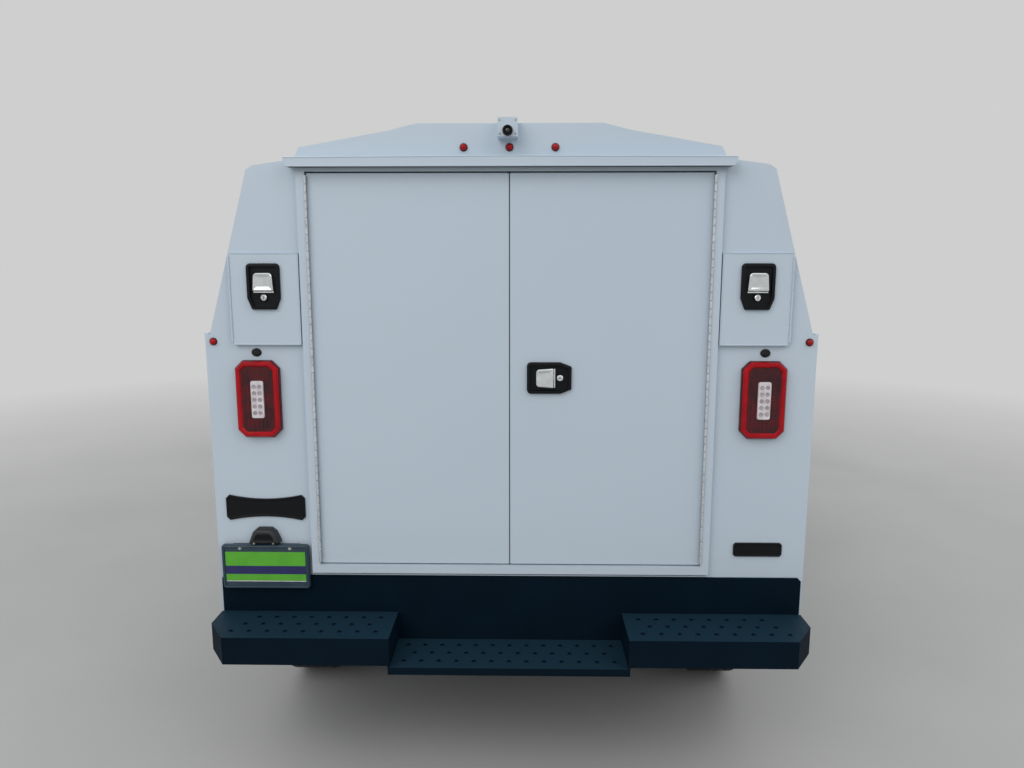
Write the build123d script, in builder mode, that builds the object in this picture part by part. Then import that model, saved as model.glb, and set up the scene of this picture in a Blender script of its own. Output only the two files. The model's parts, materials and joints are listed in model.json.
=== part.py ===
from build123d import *
import os
from math import cos, radians, sin

# Enclosed service van: cutaway cab, walk-in utility body and rolling chassis.
# Millimetres. +Y forward, +X to the vehicle's right, +Z up, ground at Z = 0.
# The origin is on the ground at the centre of the overall length and width.

# ---- driving dimensions ----------------------------------------------------
WHEELBASE = 3530.0
FRONT_OVERHANG = 900.0
CAB_TO_AXLE = 2032.0
BODY_LENGTH = 2743.0
BUMPER_DEPTH = 204.0
BODY_HALF_WIDTH = 1042.0
CAB_HALF_WIDTH = 1005.0
TYRE_RADIUS = 387.0
WHEEL_X = 866.0
FLOOR_TOP = 745.0
SKIRT_BOTTOM = 573.0

REAR_OVERHANG = BODY_LENGTH - CAB_TO_AXLE
OVERALL_LENGTH = FRONT_OVERHANG + WHEELBASE + REAR_OVERHANG + BUMPER_DEPTH
FRONT_AXLE_Y = OVERALL_LENGTH / 2 - FRONT_OVERHANG
REAR_AXLE_Y = FRONT_AXLE_Y - WHEELBASE
REAR_FACE_Y = REAR_AXLE_Y - REAR_OVERHANG
BODY_FRONT_Y = REAR_FACE_Y + BODY_LENGTH
CAB_BACK_Y = BODY_FRONT_Y + 3.0
BUMPER_FACE_Y = REAR_FACE_Y - BUMPER_DEPTH
AXLE_Z = TYRE_RADIUS

GAP = 6.0                       # shut line round every moving panel
WALL = 16.0                     # wall of the storage packs


# ---- helpers ---------------------------------------------------------------
def station(y):
    """Upright plane across the van at y: local x is X, local y is Z, normal to the rear."""
    return Plane(origin=(0, y, 0), x_dir=(1, 0, 0), z_dir=(0, -1, 0))


def side(x):
    """Upright plane along the van at x: local x is Y, local y is Z, normal to the right."""
    return Plane.YZ.offset(x)


def block(x, y, z, mode=Mode.ADD):
    """A box between the low and high values given for each axis."""
    with Locations(((x[0] + x[1]) / 2, (y[0] + y[1]) / 2, (z[0] + z[1]) / 2)):
        Box(x[1] - x[0], y[1] - y[0], z[1] - z[0], mode=mode)


def rod(start, end, radius, mode=Mode.ADD):
    """A round bar from start to end."""
    path = Vector(*end) - Vector(*start)
    with Locations(Plane(origin=start, z_dir=path)):
        Cylinder(radius, path.length, align=(Align.CENTER, Align.CENTER, Align.MIN), mode=mode)


def outline(*points, mode=Mode.ADD):
    """A straight-sided face through the points, on the sketch in hand."""
    Polygon(*points, align=None, mode=mode)


def write(piece, label):
    """Label a finished piece and write its STEP file."""
    piece.part.label = label
    export_step(piece.part, f"parts/{label}.step")


def write_pair(piece, name):
    """Write a right-hand piece and its mirror image on the left."""
    write(piece, f"{name}_right")
    with BuildPart() as twin:
        mirror(piece.part, about=Plane.YZ)
    write(twin, f"{name}_left")


os.makedirs("parts", exist_ok=True)

# ---- chassis frame ---------------------------------------------------------
RAIL_X = 432.0                  # outer face of each rail
RAIL_FLANGE = 64.0
RAIL_WALL = 6.0
RAIL_TOP = 705.0
RAIL_REAR_Y = REAR_FACE_Y + 20.0
RAIL_FRONT_Y = FRONT_AXLE_Y + 640.0
CAB_RAIL_TOP = 610.0
HITCH_X = 398.0
HITCH_Y = REAR_FACE_Y + 184.0
HITCH_BOLT_RADIUS = 7.0
HITCH_PLATE_TOP = 555.0
HITCH_PLATE_LOW = HITCH_PLATE_TOP - 12.0


def rail_outline():
    """Side view of a rail: high under the body, stepping down under the cab."""
    outline(
        (RAIL_REAR_Y, 555), (REAR_AXLE_Y + 560, 555), (REAR_AXLE_Y + 760, 525), (100, 525),
        (480, 440), (FRONT_AXLE_Y - 350, 440), (FRONT_AXLE_Y - 150, 470), (RAIL_FRONT_Y, 470),
        (RAIL_FRONT_Y, CAB_RAIL_TOP), (BODY_FRONT_Y - 5, CAB_RAIL_TOP),
        (BODY_FRONT_Y - 130, RAIL_TOP), (RAIL_REAR_Y, RAIL_TOP),
    )


CROSSMEMBERS = (
    (RAIL_REAR_Y + 60, 575), (REAR_AXLE_Y - 260, 600), (REAR_AXLE_Y + 460, 600),
    (-600, 590), (60, 570),
)

with BuildPart() as frame_rails:
    with BuildSketch(side(RAIL_X)):
        rail_outline()
    extrude(amount=-RAIL_FLANGE)
    with BuildSketch(side(RAIL_X - RAIL_WALL)):
        rail_outline()
        offset(amount=-RAIL_WALL, mode=Mode.REPLACE)
    extrude(amount=-RAIL_FLANGE, mode=Mode.SUBTRACT)
    # clearance in the lower flange over each hitch bracket's bolt hole
    rod((HITCH_X, HITCH_Y, HITCH_PLATE_LOW), (HITCH_X, HITCH_Y, HITCH_PLATE_TOP + 15),
        HITCH_BOLT_RADIUS + 1.5, mode=Mode.SUBTRACT)
    mirror(about=Plane.YZ)
    for cross_y, cross_bottom in CROSSMEMBERS:
        block((2 - RAIL_X, RAIL_X - 2), (cross_y - 35, cross_y + 35), (cross_bottom, 690))
    block((2 - RAIL_X, RAIL_X - 2), (RAIL_FRONT_Y - 70, RAIL_FRONT_Y - 10), (480, 600))
write(frame_rails, "frame_rails")

# plates welded under the rails, between the bumper bracket and the tail pipe
with BuildPart() as hitch_brackets:
    block((HITCH_X - 24, HITCH_X + 24), (HITCH_Y - 20, HITCH_Y + 20), (HITCH_PLATE_LOW, HITCH_PLATE_TOP))
    fillet(hitch_brackets.edges().filter_by(Axis.Z), 6)
    rod((HITCH_X, HITCH_Y, HITCH_PLATE_LOW - 1), (HITCH_X, HITCH_Y, HITCH_PLATE_TOP + 1),
        HITCH_BOLT_RADIUS, mode=Mode.SUBTRACT)
    mirror(about=Plane.YZ)
write(hitch_brackets, "hitch_brackets")

# ---- running gear ----------------------------------------------------------
RIM_HALF = 84.0
BEAD_RADIUS = 203.0
ROTOR_RADIUS = 140.0
HUB_BORE = 25.0
STUB_RADIUS = 24.6
KINGPIN_X = 780.0
BALL_RISE = 125.0               # ball joints above and below the axle line
BALL_SOCKET = 12.6
BALL_STUD = 12.0
SPINDLE_FLANGE = 62.0
LUG_CIRCLE = 82.55
TREAD_HALF = 88.0


def build_tyre(axle_y):
    """Right-hand tyre: a hollow carcass, open to the rim between its beads."""
    with BuildPart() as tyre:
        with BuildSketch(Plane(origin=(WHEEL_X, axle_y, AXLE_Z), x_dir=(1, 0, 0), z_dir=(0, -1, 0))):
            with BuildLine():
                Polyline((-66, 225), (-66, BEAD_RADIUS + 1), (-80, BEAD_RADIUS + 1), (-80, 222))
                ThreePointArc((-80, 222), (-123, 290), (-100, 374))
                Polyline((-100, 374), (-TREAD_HALF, TYRE_RADIUS), (TREAD_HALF, TYRE_RADIUS), (100, 374))
                ThreePointArc((100, 374), (123, 290), (80, 222))
                Polyline((80, 222), (80, BEAD_RADIUS + 1), (66, BEAD_RADIUS + 1), (66, 225))
                ThreePointArc((66, 225), (108, 290), (88, 362))
                Line((88, 362), (-88, 362))
                ThreePointArc((-88, 362), (-108, 290), (-66, 225))
            make_face()
        revolve(axis=Axis((WHEEL_X, axle_y, AXLE_Z), (1, 0, 0)))
    return tyre


def build_wheel(axle_y):
    """Right-hand steel wheel with its hub, brake rotor and eight nuts."""
    with BuildPart() as wheel:
        with BuildSketch(Plane(origin=(WHEEL_X, axle_y, AXLE_Z), x_dir=(1, 0, 0), z_dir=(0, -1, 0))):
            # rim barrel with its flanges and drop centre
            outline(
                (-90, 220), (-RIM_HALF, 220), (-RIM_HALF, BEAD_RADIUS), (-45, 200), (-35, 184),
                (25, 184), (40, 202), (RIM_HALF, BEAD_RADIUS), (RIM_HALF, 220), (90, 220),
                (90, 197), (45, 195), (30, 178), (-38, 178), (-50, 194), (-90, 197),
            )
            # pressed disc
            outline(
                (26, 181), (44, 150), (48, 130), (38, 108), (10, 98), (10, 60), (20, 60),
                (20, 94), (46, 103), (58, 130), (54, 152), (36, 186),
            )
            # hub, closed nose and rotor
            outline((-60, HUB_BORE), (14, HUB_BORE), (14, 0), (46, 0), (46, 44), (20, 50), (20, 62), (-60, 62))
            outline((-55, 60), (-27, 60), (-27, ROTOR_RADIUS), (-55, ROTOR_RADIUS))
        revolve(axis=Axis((WHEEL_X, axle_y, AXLE_Z), (1, 0, 0)))
        with Locations(Plane(origin=(WHEEL_X + 45, axle_y, AXLE_Z), z_dir=(1, 0, 0))):
            with PolarLocations(126, 8):
                Cylinder(17, 44, mode=Mode.SUBTRACT)
        with Locations(Plane(origin=(WHEEL_X + 18, axle_y, AXLE_Z), z_dir=(1, 0, 0))):
            with PolarLocations(LUG_CIRCLE, 8):
                Cylinder(10.5, 22, align=(Align.CENTER, Align.CENTER, Align.MIN))
    return wheel


def caliper(axle_y):
    """Brake caliper over the rotor's rear edge."""
    block((796, 854), (axle_y - 158, axle_y - 92), (AXLE_Z - 55, AXLE_Z + 55))
    block((804, 846), (axle_y - 147, axle_y - 80), (AXLE_Z - 70, AXLE_Z + 70), mode=Mode.SUBTRACT)
    block((786, 797), (axle_y - 150, axle_y), (AXLE_Z - 30, AXLE_Z + 30))


for axle_name, axle_y in (("front", FRONT_AXLE_Y), ("rear", REAR_AXLE_Y)):
    write_pair(build_tyre(axle_y), f"tyre_{axle_name}")
    write_pair(build_wheel(axle_y), f"wheel_{axle_name}")

with BuildPart() as knuckle:
    caliper(FRONT_AXLE_Y)
    block((768, 796), (FRONT_AXLE_Y - 30, FRONT_AXLE_Y + 30), (AXLE_Z - 100, AXLE_Z + 100))
    for rise in (-BALL_RISE, BALL_RISE - 30):
        block((758, 801), (FRONT_AXLE_Y - 24, FRONT_AXLE_Y + 24), (AXLE_Z + rise, AXLE_Z + rise + 30))
    # sockets for the two ball studs
    rod((KINGPIN_X, FRONT_AXLE_Y, AXLE_Z - BALL_RISE - 1),
        (KINGPIN_X, FRONT_AXLE_Y, AXLE_Z - BALL_RISE + 25), BALL_SOCKET, mode=Mode.SUBTRACT)
    rod((KINGPIN_X, FRONT_AXLE_Y, AXLE_Z + BALL_RISE - 25),
        (KINGPIN_X, FRONT_AXLE_Y, AXLE_Z + BALL_RISE + 1), BALL_SOCKET, mode=Mode.SUBTRACT)
    rod((790, FRONT_AXLE_Y, AXLE_Z), (801, FRONT_AXLE_Y, AXLE_Z), SPINDLE_FLANGE)
    rod((796, FRONT_AXLE_Y, AXLE_Z), (WHEEL_X + 8, FRONT_AXLE_Y, AXLE_Z), STUB_RADIUS)
    # steering arm
    block((762, 782), (FRONT_AXLE_Y + 30, FRONT_AXLE_Y + 150), (AXLE_Z - 90, AXLE_Z - 66))
write_pair(knuckle, "knuckle")

ARM_LOW_Z = 230.0
ARM_HIGH_Z = 518.0
with BuildPart() as front_suspension:
    # lower wishbones
    with BuildSketch(Plane.XY.offset(ARM_LOW_Z)):
        outline((335, FRONT_AXLE_Y - 170), (KINGPIN_X, FRONT_AXLE_Y - 25),
                (KINGPIN_X, FRONT_AXLE_Y + 25), (335, FRONT_AXLE_Y + 170))
        with Locations((KINGPIN_X, FRONT_AXLE_Y)):
            Circle(25)
    extrude(amount=26)
    # upper wishbones, two legs each
    with BuildSketch(Plane.XY.offset(ARM_HIGH_Z)):
        outline((436, FRONT_AXLE_Y - 150), (KINGPIN_X, FRONT_AXLE_Y - 24),
                (KINGPIN_X, FRONT_AXLE_Y + 24), (436, FRONT_AXLE_Y + 150))
        outline((430, FRONT_AXLE_Y - 112), (715, FRONT_AXLE_Y), (430, FRONT_AXLE_Y + 112),
                mode=Mode.SUBTRACT)
        with Locations((KINGPIN_X, FRONT_AXLE_Y)):
            Circle(24)
    extrude(amount=22)
    rod((KINGPIN_X, FRONT_AXLE_Y, ARM_LOW_Z + 10), (KINGPIN_X, FRONT_AXLE_Y, AXLE_Z - BALL_RISE + 20),
        BALL_STUD)
    rod((KINGPIN_X, FRONT_AXLE_Y, ARM_HIGH_Z + 10), (KINGPIN_X, FRONT_AXLE_Y, AXLE_Z + BALL_RISE - 20),
        BALL_STUD)
    # shock absorber and its tower beside the rail
    rod((570, FRONT_AXLE_Y, ARM_LOW_Z + 20), (570, FRONT_AXLE_Y, 632), 32)
    block((RAIL_X + 1, 630), (FRONT_AXLE_Y - 62, FRONT_AXLE_Y + 62), (622, 648))
    block((RAIL_X + 1, 462), (FRONT_AXLE_Y - 155, FRONT_AXLE_Y + 155), (480, 648))
    mirror(about=Plane.YZ)
    # crossmember under the engine, with the wishbone pivots
    block((-425, 425), (FRONT_AXLE_Y - 110, FRONT_AXLE_Y + 110), (300, 469))
    for pivot_x in (-360, 360):
        block((pivot_x - 30, pivot_x + 30), (FRONT_AXLE_Y - 165, FRONT_AXLE_Y + 165), (222, 305))
write(front_suspension, "front_suspension")

with BuildPart() as rear_axle:
    caliper(REAR_AXLE_Y)
    rod((770, REAR_AXLE_Y, AXLE_Z), (801, REAR_AXLE_Y, AXLE_Z), SPINDLE_FLANGE)
    rod((796, REAR_AXLE_Y, AXLE_Z), (WHEEL_X + 8, REAR_AXLE_Y, AXLE_Z), STUB_RADIUS)
    mirror(about=Plane.YZ)
    rod((-785, REAR_AXLE_Y, AXLE_Z), (785, REAR_AXLE_Y, AXLE_Z), 45)
    with Locations((0, REAR_AXLE_Y, AXLE_Z)):
        Sphere(145)
    rod((0, REAR_AXLE_Y - 175, AXLE_Z), (0, REAR_AXLE_Y, AXLE_Z), 115)
    rod((0, REAR_AXLE_Y, AXLE_Z), (0, REAR_AXLE_Y + 300, AXLE_Z), 60)
write(rear_axle, "rear_axle")

SPRING_X = 552.0
SPRING_HALF_SPAN = 640.0
SPRING_END_Z = 535.0
SPRING_MID_Z = 468.0
SPRING_LEAF_STACK = 34.0
with BuildPart() as rear_suspension:
    with BuildSketch(side(SPRING_X - 32)):
        with BuildLine():
            low, high = -SPRING_LEAF_STACK / 2, SPRING_LEAF_STACK / 2
            ends = (REAR_AXLE_Y - SPRING_HALF_SPAN, REAR_AXLE_Y + SPRING_HALF_SPAN)
            ThreePointArc((ends[0], SPRING_END_Z + high), (REAR_AXLE_Y, SPRING_MID_Z + high),
                          (ends[1], SPRING_END_Z + high))
            Line((ends[1], SPRING_END_Z + high), (ends[1], SPRING_END_Z + low))
            ThreePointArc((ends[1], SPRING_END_Z + low), (REAR_AXLE_Y, SPRING_MID_Z + low),
                          (ends[0], SPRING_END_Z + low))
            Line((ends[0], SPRING_END_Z + low), (ends[0], SPRING_END_Z + high))
        make_face()
    extrude(amount=64)
    for eye_y in ends:
        rod((SPRING_X - 33, eye_y, SPRING_END_Z), (SPRING_X + 33, eye_y, SPRING_END_Z), 28)
        rod((RAIL_X + 1, eye_y, SPRING_END_Z), (SPRING_X + 44, eye_y, SPRING_END_Z), 13)
        block((RAIL_X + 1, SPRING_X - 40), (eye_y - 45, eye_y + 45), (505, 690))
    # saddle on the axle tube and its clamp plate
    block((SPRING_X - 38, SPRING_X + 38), (REAR_AXLE_Y - 75, REAR_AXLE_Y + 75), (433, 462))
    # shock absorber from the axle to the floor
    rod((640, REAR_AXLE_Y - 110, 360), (640, REAR_AXLE_Y - 150, 698), 27)
    block((SPRING_X + 20, 655), (REAR_AXLE_Y - 125, REAR_AXLE_Y - 60), (433, 455))
    mirror(about=Plane.YZ)
write(rear_suspension, "rear_suspension")

with BuildPart() as engine_block:
    block((-290, 290), (FRONT_AXLE_Y - 400, FRONT_AXLE_Y + 260), (475, 990))
    chamfer(engine_block.edges().filter_by(Axis.Y).group_by(Axis.Z)[-1], 130)
write(engine_block, "engine_block")

GEARBOX_Y = FRONT_AXLE_Y - 402
with BuildPart() as driveline:
    with Locations(Plane(origin=(0, GEARBOX_Y, 468), z_dir=(0, -1, 0))):
        Cone(180, 110, 330, align=(Align.CENTER, Align.CENTER, Align.MIN))
    rod((0, GEARBOX_Y - 320, 466), (0, GEARBOX_Y - 640, 460), 105)
    rod((0, GEARBOX_Y - 630, 460), (0, GEARBOX_Y - 800, 456), 62)
    rod((0, GEARBOX_Y - 780, 456), (0, REAR_AXLE_Y + 306, AXLE_Z + 3), 42)
write(driveline, "driveline")

with BuildPart() as exhaust:
    with BuildLine() as pipe_route:
        FilletPolyline(
            (250, FRONT_AXLE_Y - 450, 430), (250, 60, 410), (250, REAR_AXLE_Y + 560, 410),
            (250, REAR_AXLE_Y + 200, 505), (250, REAR_AXLE_Y - 250, 505),
            (380, REAR_AXLE_Y - 470, 415), (985, REAR_AXLE_Y - 470, 405),
            radius=90,
        )
    with BuildSketch(Plane(origin=pipe_route.line @ 0, z_dir=pipe_route.line % 0)):
        Circle(30)
    sweep()
    with BuildSketch(station(150)):
        with Locations((250, 408)):
            Ellipse(108, 78)
    extrude(amount=620)
    fillet(exhaust.edges().filter_by(GeomType.ELLIPSE), 12)
write(exhaust, "exhaust")

with BuildPart() as fuel_tank:
    block((-690, -452), (-760, 60), (300, 560))
    fillet(fuel_tank.edges().filter_by(Axis.Y), 45)
    fillet(fuel_tank.edges().group_by(Axis.Y)[0] + fuel_tank.edges().group_by(Axis.Y)[-1], 30)
write(fuel_tank, "fuel_tank")

# ---- cab -------------------------------------------------------------------
CAB_BOTTOM = 430.0
BOW_CENTRE_Y = FRONT_AXLE_Y - 2650.0    # the whole front is bowed about this upright line
COWL_Y = FRONT_AXLE_Y + 5.0
COWL_Z = 1275.0
SCREEN_RUN = 817.0                      # rearward run of the windscreen line up to SCREEN_TOP_Z
SCREEN_TOP_Z = 2300.0
BELT_Z = 1290.0
ARCH_RADIUS = 460.0
SKIN = 36.0                             # hood, roof and front panel depth


def front_profile(bottom, inset):
    """Centreline side view of nose, hood and windscreen, moved in by inset."""
    with BuildLine() as border:
        Polyline((BOW_CENTRE_Y, SCREEN_TOP_Z), (BOW_CENTRE_Y, bottom), (FRONT_AXLE_Y + 765, bottom),
                 (FRONT_AXLE_Y + 785, 840))
        ThreePointArc((FRONT_AXLE_Y + 785, 840), (FRONT_AXLE_Y + 778, 950), (FRONT_AXLE_Y + 735, 1040))
        ThreePointArc((FRONT_AXLE_Y + 735, 1040), (FRONT_AXLE_Y + 400, 1182), (COWL_Y, COWL_Z))
        Polyline((COWL_Y, COWL_Z), (COWL_Y - SCREEN_RUN, SCREEN_TOP_Z), (BOW_CENTRE_Y, SCREEN_TOP_Z))
    make_face(border.edges())
    if inset:
        offset(amount=-inset, kind=Kind.INTERSECTION, mode=Mode.REPLACE)


def bowed(bottom, inset):
    """Solid of the front profile turned about the bow's centre line."""
    with BuildPart(mode=Mode.PRIVATE) as turned:
        with BuildSketch(Plane.YZ):
            front_profile(bottom, inset)
        revolve(axis=Axis((0, BOW_CENTRE_Y, 0), (0, 0, 1)))
    return turned.part


def cab_section():
    """Cross-section of the cab's outside."""
    with BuildLine() as border:
        Polyline((0, CAB_BOTTOM), (960, CAB_BOTTOM), (998, 560), (CAB_HALF_WIDTH, 900), (990, BELT_Z),
                 (862, 1900))
        ThreePointArc((862, 1900), (815, 2005), (700, 2055))
        ThreePointArc((700, 2055), (352, 2078), (0, 2085))
        Line((0, 2085), (0, CAB_BOTTOM))
    make_face(border.edges())
    mirror(about=Plane.YZ)


def cabin_section():
    """Cross-section of the cab's inside: thick below the belt, thin above."""
    with BuildLine() as border:
        Polyline((0, 200), (915, 200), (915, 1250), (940, 1305), (815, 1890))
        ThreePointArc((815, 1890), (768, 1978), (680, 2016))
        ThreePointArc((680, 2016), (342, 2038), (0, 2045))
        Line((0, 2045), (0, 200))
    make_face(border.edges())
    mirror(about=Plane.YZ)


def through(points, low_x=500, high_x=1100):
    """Upright-sided prism through the right-hand cab side from a side-view outline."""
    with BuildPart(mode=Mode.PRIVATE) as prism:
        with BuildSketch(side(low_x)):
            Polygon(*points, align=None)
        extrude(amount=high_x - low_x)
    return prism.part


HOOD_HALF = 790.0
HOOD_REAR_Y = FRONT_AXLE_Y + 30.0
HOOD_LIP_Z = 985.0
DOOR_FRONT_Y = FRONT_AXLE_Y - 478.0
DOOR_REAR_Y = CAB_BACK_Y + 98.0
SCREEN_SLOPE = SCREEN_RUN / (SCREEN_TOP_Z - COWL_Z)
PILLAR_Y = FRONT_AXLE_Y - 271.0         # door's raked front edge at cowl height


def pillar_y(z, setback=0.0):
    """Where the raked front edge of the door, or a line behind it, stands at height z."""
    return PILLAR_Y - setback - (z - COWL_Z) * SCREEN_SLOPE * 0.98


def door_outline(grow=0.0):
    """Side view of the cab door, grown or shrunk by a shut line."""
    front, rear = DOOR_FRONT_Y + grow, DOOR_REAR_Y - grow
    top, bottom = 1938 + grow, 470 - grow
    elbow_z = COWL_Z + (PILLAR_Y - DOOR_FRONT_Y) / (SCREEN_SLOPE * 0.98) + grow * 0.6
    return ((front, bottom), (front, elbow_z), (pillar_y(top) + grow * 0.9, top), (rear + 45, top),
            (rear, top - 60), (rear, bottom))


def window_outline(inset=0.0):
    """Side view of the door's window."""
    front, rear = DOOR_FRONT_Y - 62 - inset, DOOR_REAR_Y + 72 + inset
    top, bottom = 1872 - inset, 1335 + inset
    elbow_z = COWL_Z + (PILLAR_Y - 85 - (DOOR_FRONT_Y - 62)) / (SCREEN_SLOPE * 0.98)
    return ((front, bottom), (front, elbow_z), (pillar_y(top, 85) - inset, top), (rear + 40, top),
            (rear, top - 50), (rear, bottom))


def screen_outline(inset=0.0):
    """Front view of the windscreen."""
    low, high = 1312 + inset, 1902 - inset
    return ((-912 + inset, low), (912 - inset, low), (788 - inset, high), (-788 + inset, high))


FRONT_CORNER = (GeomType.BSPLINE, GeomType.HYPERBOLA, GeomType.ELLIPSE)
with BuildPart(mode=Mode.PRIVATE) as cab_outside:
    with BuildSketch(station(FRONT_AXLE_Y + 900)):
        cab_section()
    extrude(amount=FRONT_AXLE_Y + 900 - CAB_BACK_Y)
    add(bowed(CAB_BOTTOM - 50, 0), mode=Mode.INTERSECT)
    fillet(cab_outside.edges().filter_by(lambda edge: edge.geom_type in FRONT_CORNER), 60)

with BuildPart(mode=Mode.PRIVATE) as cab_inside:
    with BuildSketch(station(FRONT_AXLE_Y + 900)):
        cabin_section()
    extrude(amount=FRONT_AXLE_Y + 900 - CAB_BACK_Y + 50)
    add(bowed(200, SKIN), mode=Mode.INTERSECT)

with BuildPart(mode=Mode.PRIVATE) as cab_walls:
    add(cab_outside.part)
    add(cab_inside.part, mode=Mode.SUBTRACT)

NOSE_Y = FRONT_AXLE_Y + 900
GRILLE_HALF = 470.0
GRILLE_Z = (690.0, 950.0)
LAMP_Z = (725.0, 948.0)
LAMP_X = (486.0, 1010.0)
LAMP_BACK_Y = FRONT_AXLE_Y + 575


def hood_region(grow=0.0, mode=Mode.ADD):
    """The box that cuts the hood out of the front skin."""
    half = HOOD_HALF + grow
    block((-half, half), (HOOD_REAR_Y - grow, NOSE_Y), (HOOD_LIP_Z - grow, 1400), mode=mode)


def screen_prism(inset):
    """Fore-and-aft prism through the windscreen opening."""
    with BuildPart(mode=Mode.PRIVATE) as prism:
        with BuildSketch(station(COWL_Y + 60)):
            Polygon(*screen_outline(inset), align=None)
        extrude(amount=1000)
        fillet(prism.edges().filter_by(Axis.Y), 55 - inset)
    return prism.part


with BuildPart() as cab_shell:
    add(cab_walls.part)
    for door_side in (1, -1):
        opening = through(door_outline(GAP))
        add(opening if door_side > 0 else opening.mirror(Plane.YZ), mode=Mode.SUBTRACT)
        low_x, high_x = sorted((door_side * 520, door_side * 1100))
        rod((low_x, FRONT_AXLE_Y, AXLE_Z), (high_x, FRONT_AXLE_Y, AXLE_Z), ARCH_RADIUS, mode=Mode.SUBTRACT)
        lamp_x = sorted((door_side * (LAMP_X[0] - 3), door_side * (LAMP_X[1] + 3)))
        block(lamp_x, (LAMP_BACK_Y - 3, NOSE_Y), (LAMP_Z[0] - 3, LAMP_Z[1] + 3), mode=Mode.SUBTRACT)
    add(screen_prism(0), mode=Mode.SUBTRACT)
    hood_region(GAP, mode=Mode.SUBTRACT)
    block((-GRILLE_HALF, GRILLE_HALF), (FRONT_AXLE_Y + 500, NOSE_Y), GRILLE_Z, mode=Mode.SUBTRACT)
    # lower air intake, which the bumper brackets pass through
    block((-450, 450), (FRONT_AXLE_Y + 500, NOSE_Y), (470, 606), mode=Mode.SUBTRACT)
write(cab_shell, "cab_shell")

with BuildPart() as hood:
    add(cab_walls.part)
    hood_region(mode=Mode.INTERSECT)
write(hood, "hood")

with BuildPart() as grille:
    add(cab_walls.part)
    block((1 - GRILLE_HALF, GRILLE_HALF - 1), (FRONT_AXLE_Y + 500, NOSE_Y),
          (GRILLE_Z[0] + 1, GRILLE_Z[1] - 1), mode=Mode.INTERSECT)
    for slot in range(5):
        slot_z = GRILLE_Z[0] + 22 + slot * 46
        for slot_x in ((-450, -232), (-220, -6), (6, 220), (232, 450)):
            block(slot_x, (FRONT_AXLE_Y + 500, NOSE_Y), (slot_z, slot_z + 32), mode=Mode.SUBTRACT)
write(grille, "grille")

with BuildPart() as headlights:
    add(cab_walls.part)
    block(LAMP_X, (LAMP_BACK_Y, NOSE_Y), LAMP_Z, mode=Mode.INTERSECT)
    mirror(about=Plane.YZ)
write(headlights, "headlights")

with BuildPart() as windscreen:
    add(bowed(200, 10))
    add(bowed(150, 16), mode=Mode.SUBTRACT)
    add(screen_prism(1), mode=Mode.INTERSECT)
write(windscreen, "windscreen")

with BuildPart() as cab_door:
    add(cab_walls.part)
    add(through(door_outline()), mode=Mode.INTERSECT)
    add(through(window_outline()), mode=Mode.SUBTRACT)
write_pair(cab_door, "cab_door")


def flank_x(z, depth):
    """Distance from the middle of a plane lying `depth` inside the cab's raked upper side."""
    return 990 - (z - BELT_Z) * 128 / 610 - depth / 0.9787


with BuildPart() as door_glass:
    with BuildSketch(station(FRONT_AXLE_Y)):
        Polygon((flank_x(1320, 18), 1320), (flank_x(1885, 18), 1885), (flank_x(1885, 24), 1885),
                (flank_x(1320, 24), 1320), align=None)
    extrude(amount=1600)
    add(through(window_outline(0.5)), mode=Mode.INTERSECT)
write_pair(door_glass, "door_glass")

MIRROR_Y = DOOR_FRONT_Y - 34
with BuildPart() as door_mirror:
    block((1048, 1190), (MIRROR_Y - 34, MIRROR_Y + 26), (1345, 1600))
    fillet(door_mirror.edges().filter_by(Axis.Y), 28)
    fillet(door_mirror.faces().sort_by(Axis.Y)[-1].edges(), 24)
    block((940, 1052), (MIRROR_Y - 16, MIRROR_Y + 14), (1370, 1402))
    block((940, 1052), (MIRROR_Y - 16, MIRROR_Y + 14), (1530, 1556))
    add(cab_outside.part, mode=Mode.SUBTRACT)
write_pair(door_mirror, "door_mirror")

with BuildPart() as front_bumper:
    with BuildSketch(Plane.YZ):
        outline((FRONT_AXLE_Y + 812, 405), (FRONT_AXLE_Y + 880, 405), (FRONT_AXLE_Y + 900, 430),
                (FRONT_AXLE_Y + 900, 560), (FRONT_AXLE_Y + 872, 600), (FRONT_AXLE_Y + 812, 612))
    revolve(axis=Axis((0, BOW_CENTRE_Y, 0), (0, 0, 1)))
    block((-985, 985), (FRONT_AXLE_Y, NOSE_Y), (400, 615), mode=Mode.INTERSECT)
    fillet(front_bumper.edges().filter_by(lambda edge: abs(edge.center().X) > 980), 18)
    for bracket_x in (-400, 400):
        block((bracket_x - 30, bracket_x + 30), (RAIL_FRONT_Y + 1, FRONT_AXLE_Y + 800), (482, 596))
write(front_bumper, "front_bumper")

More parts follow.
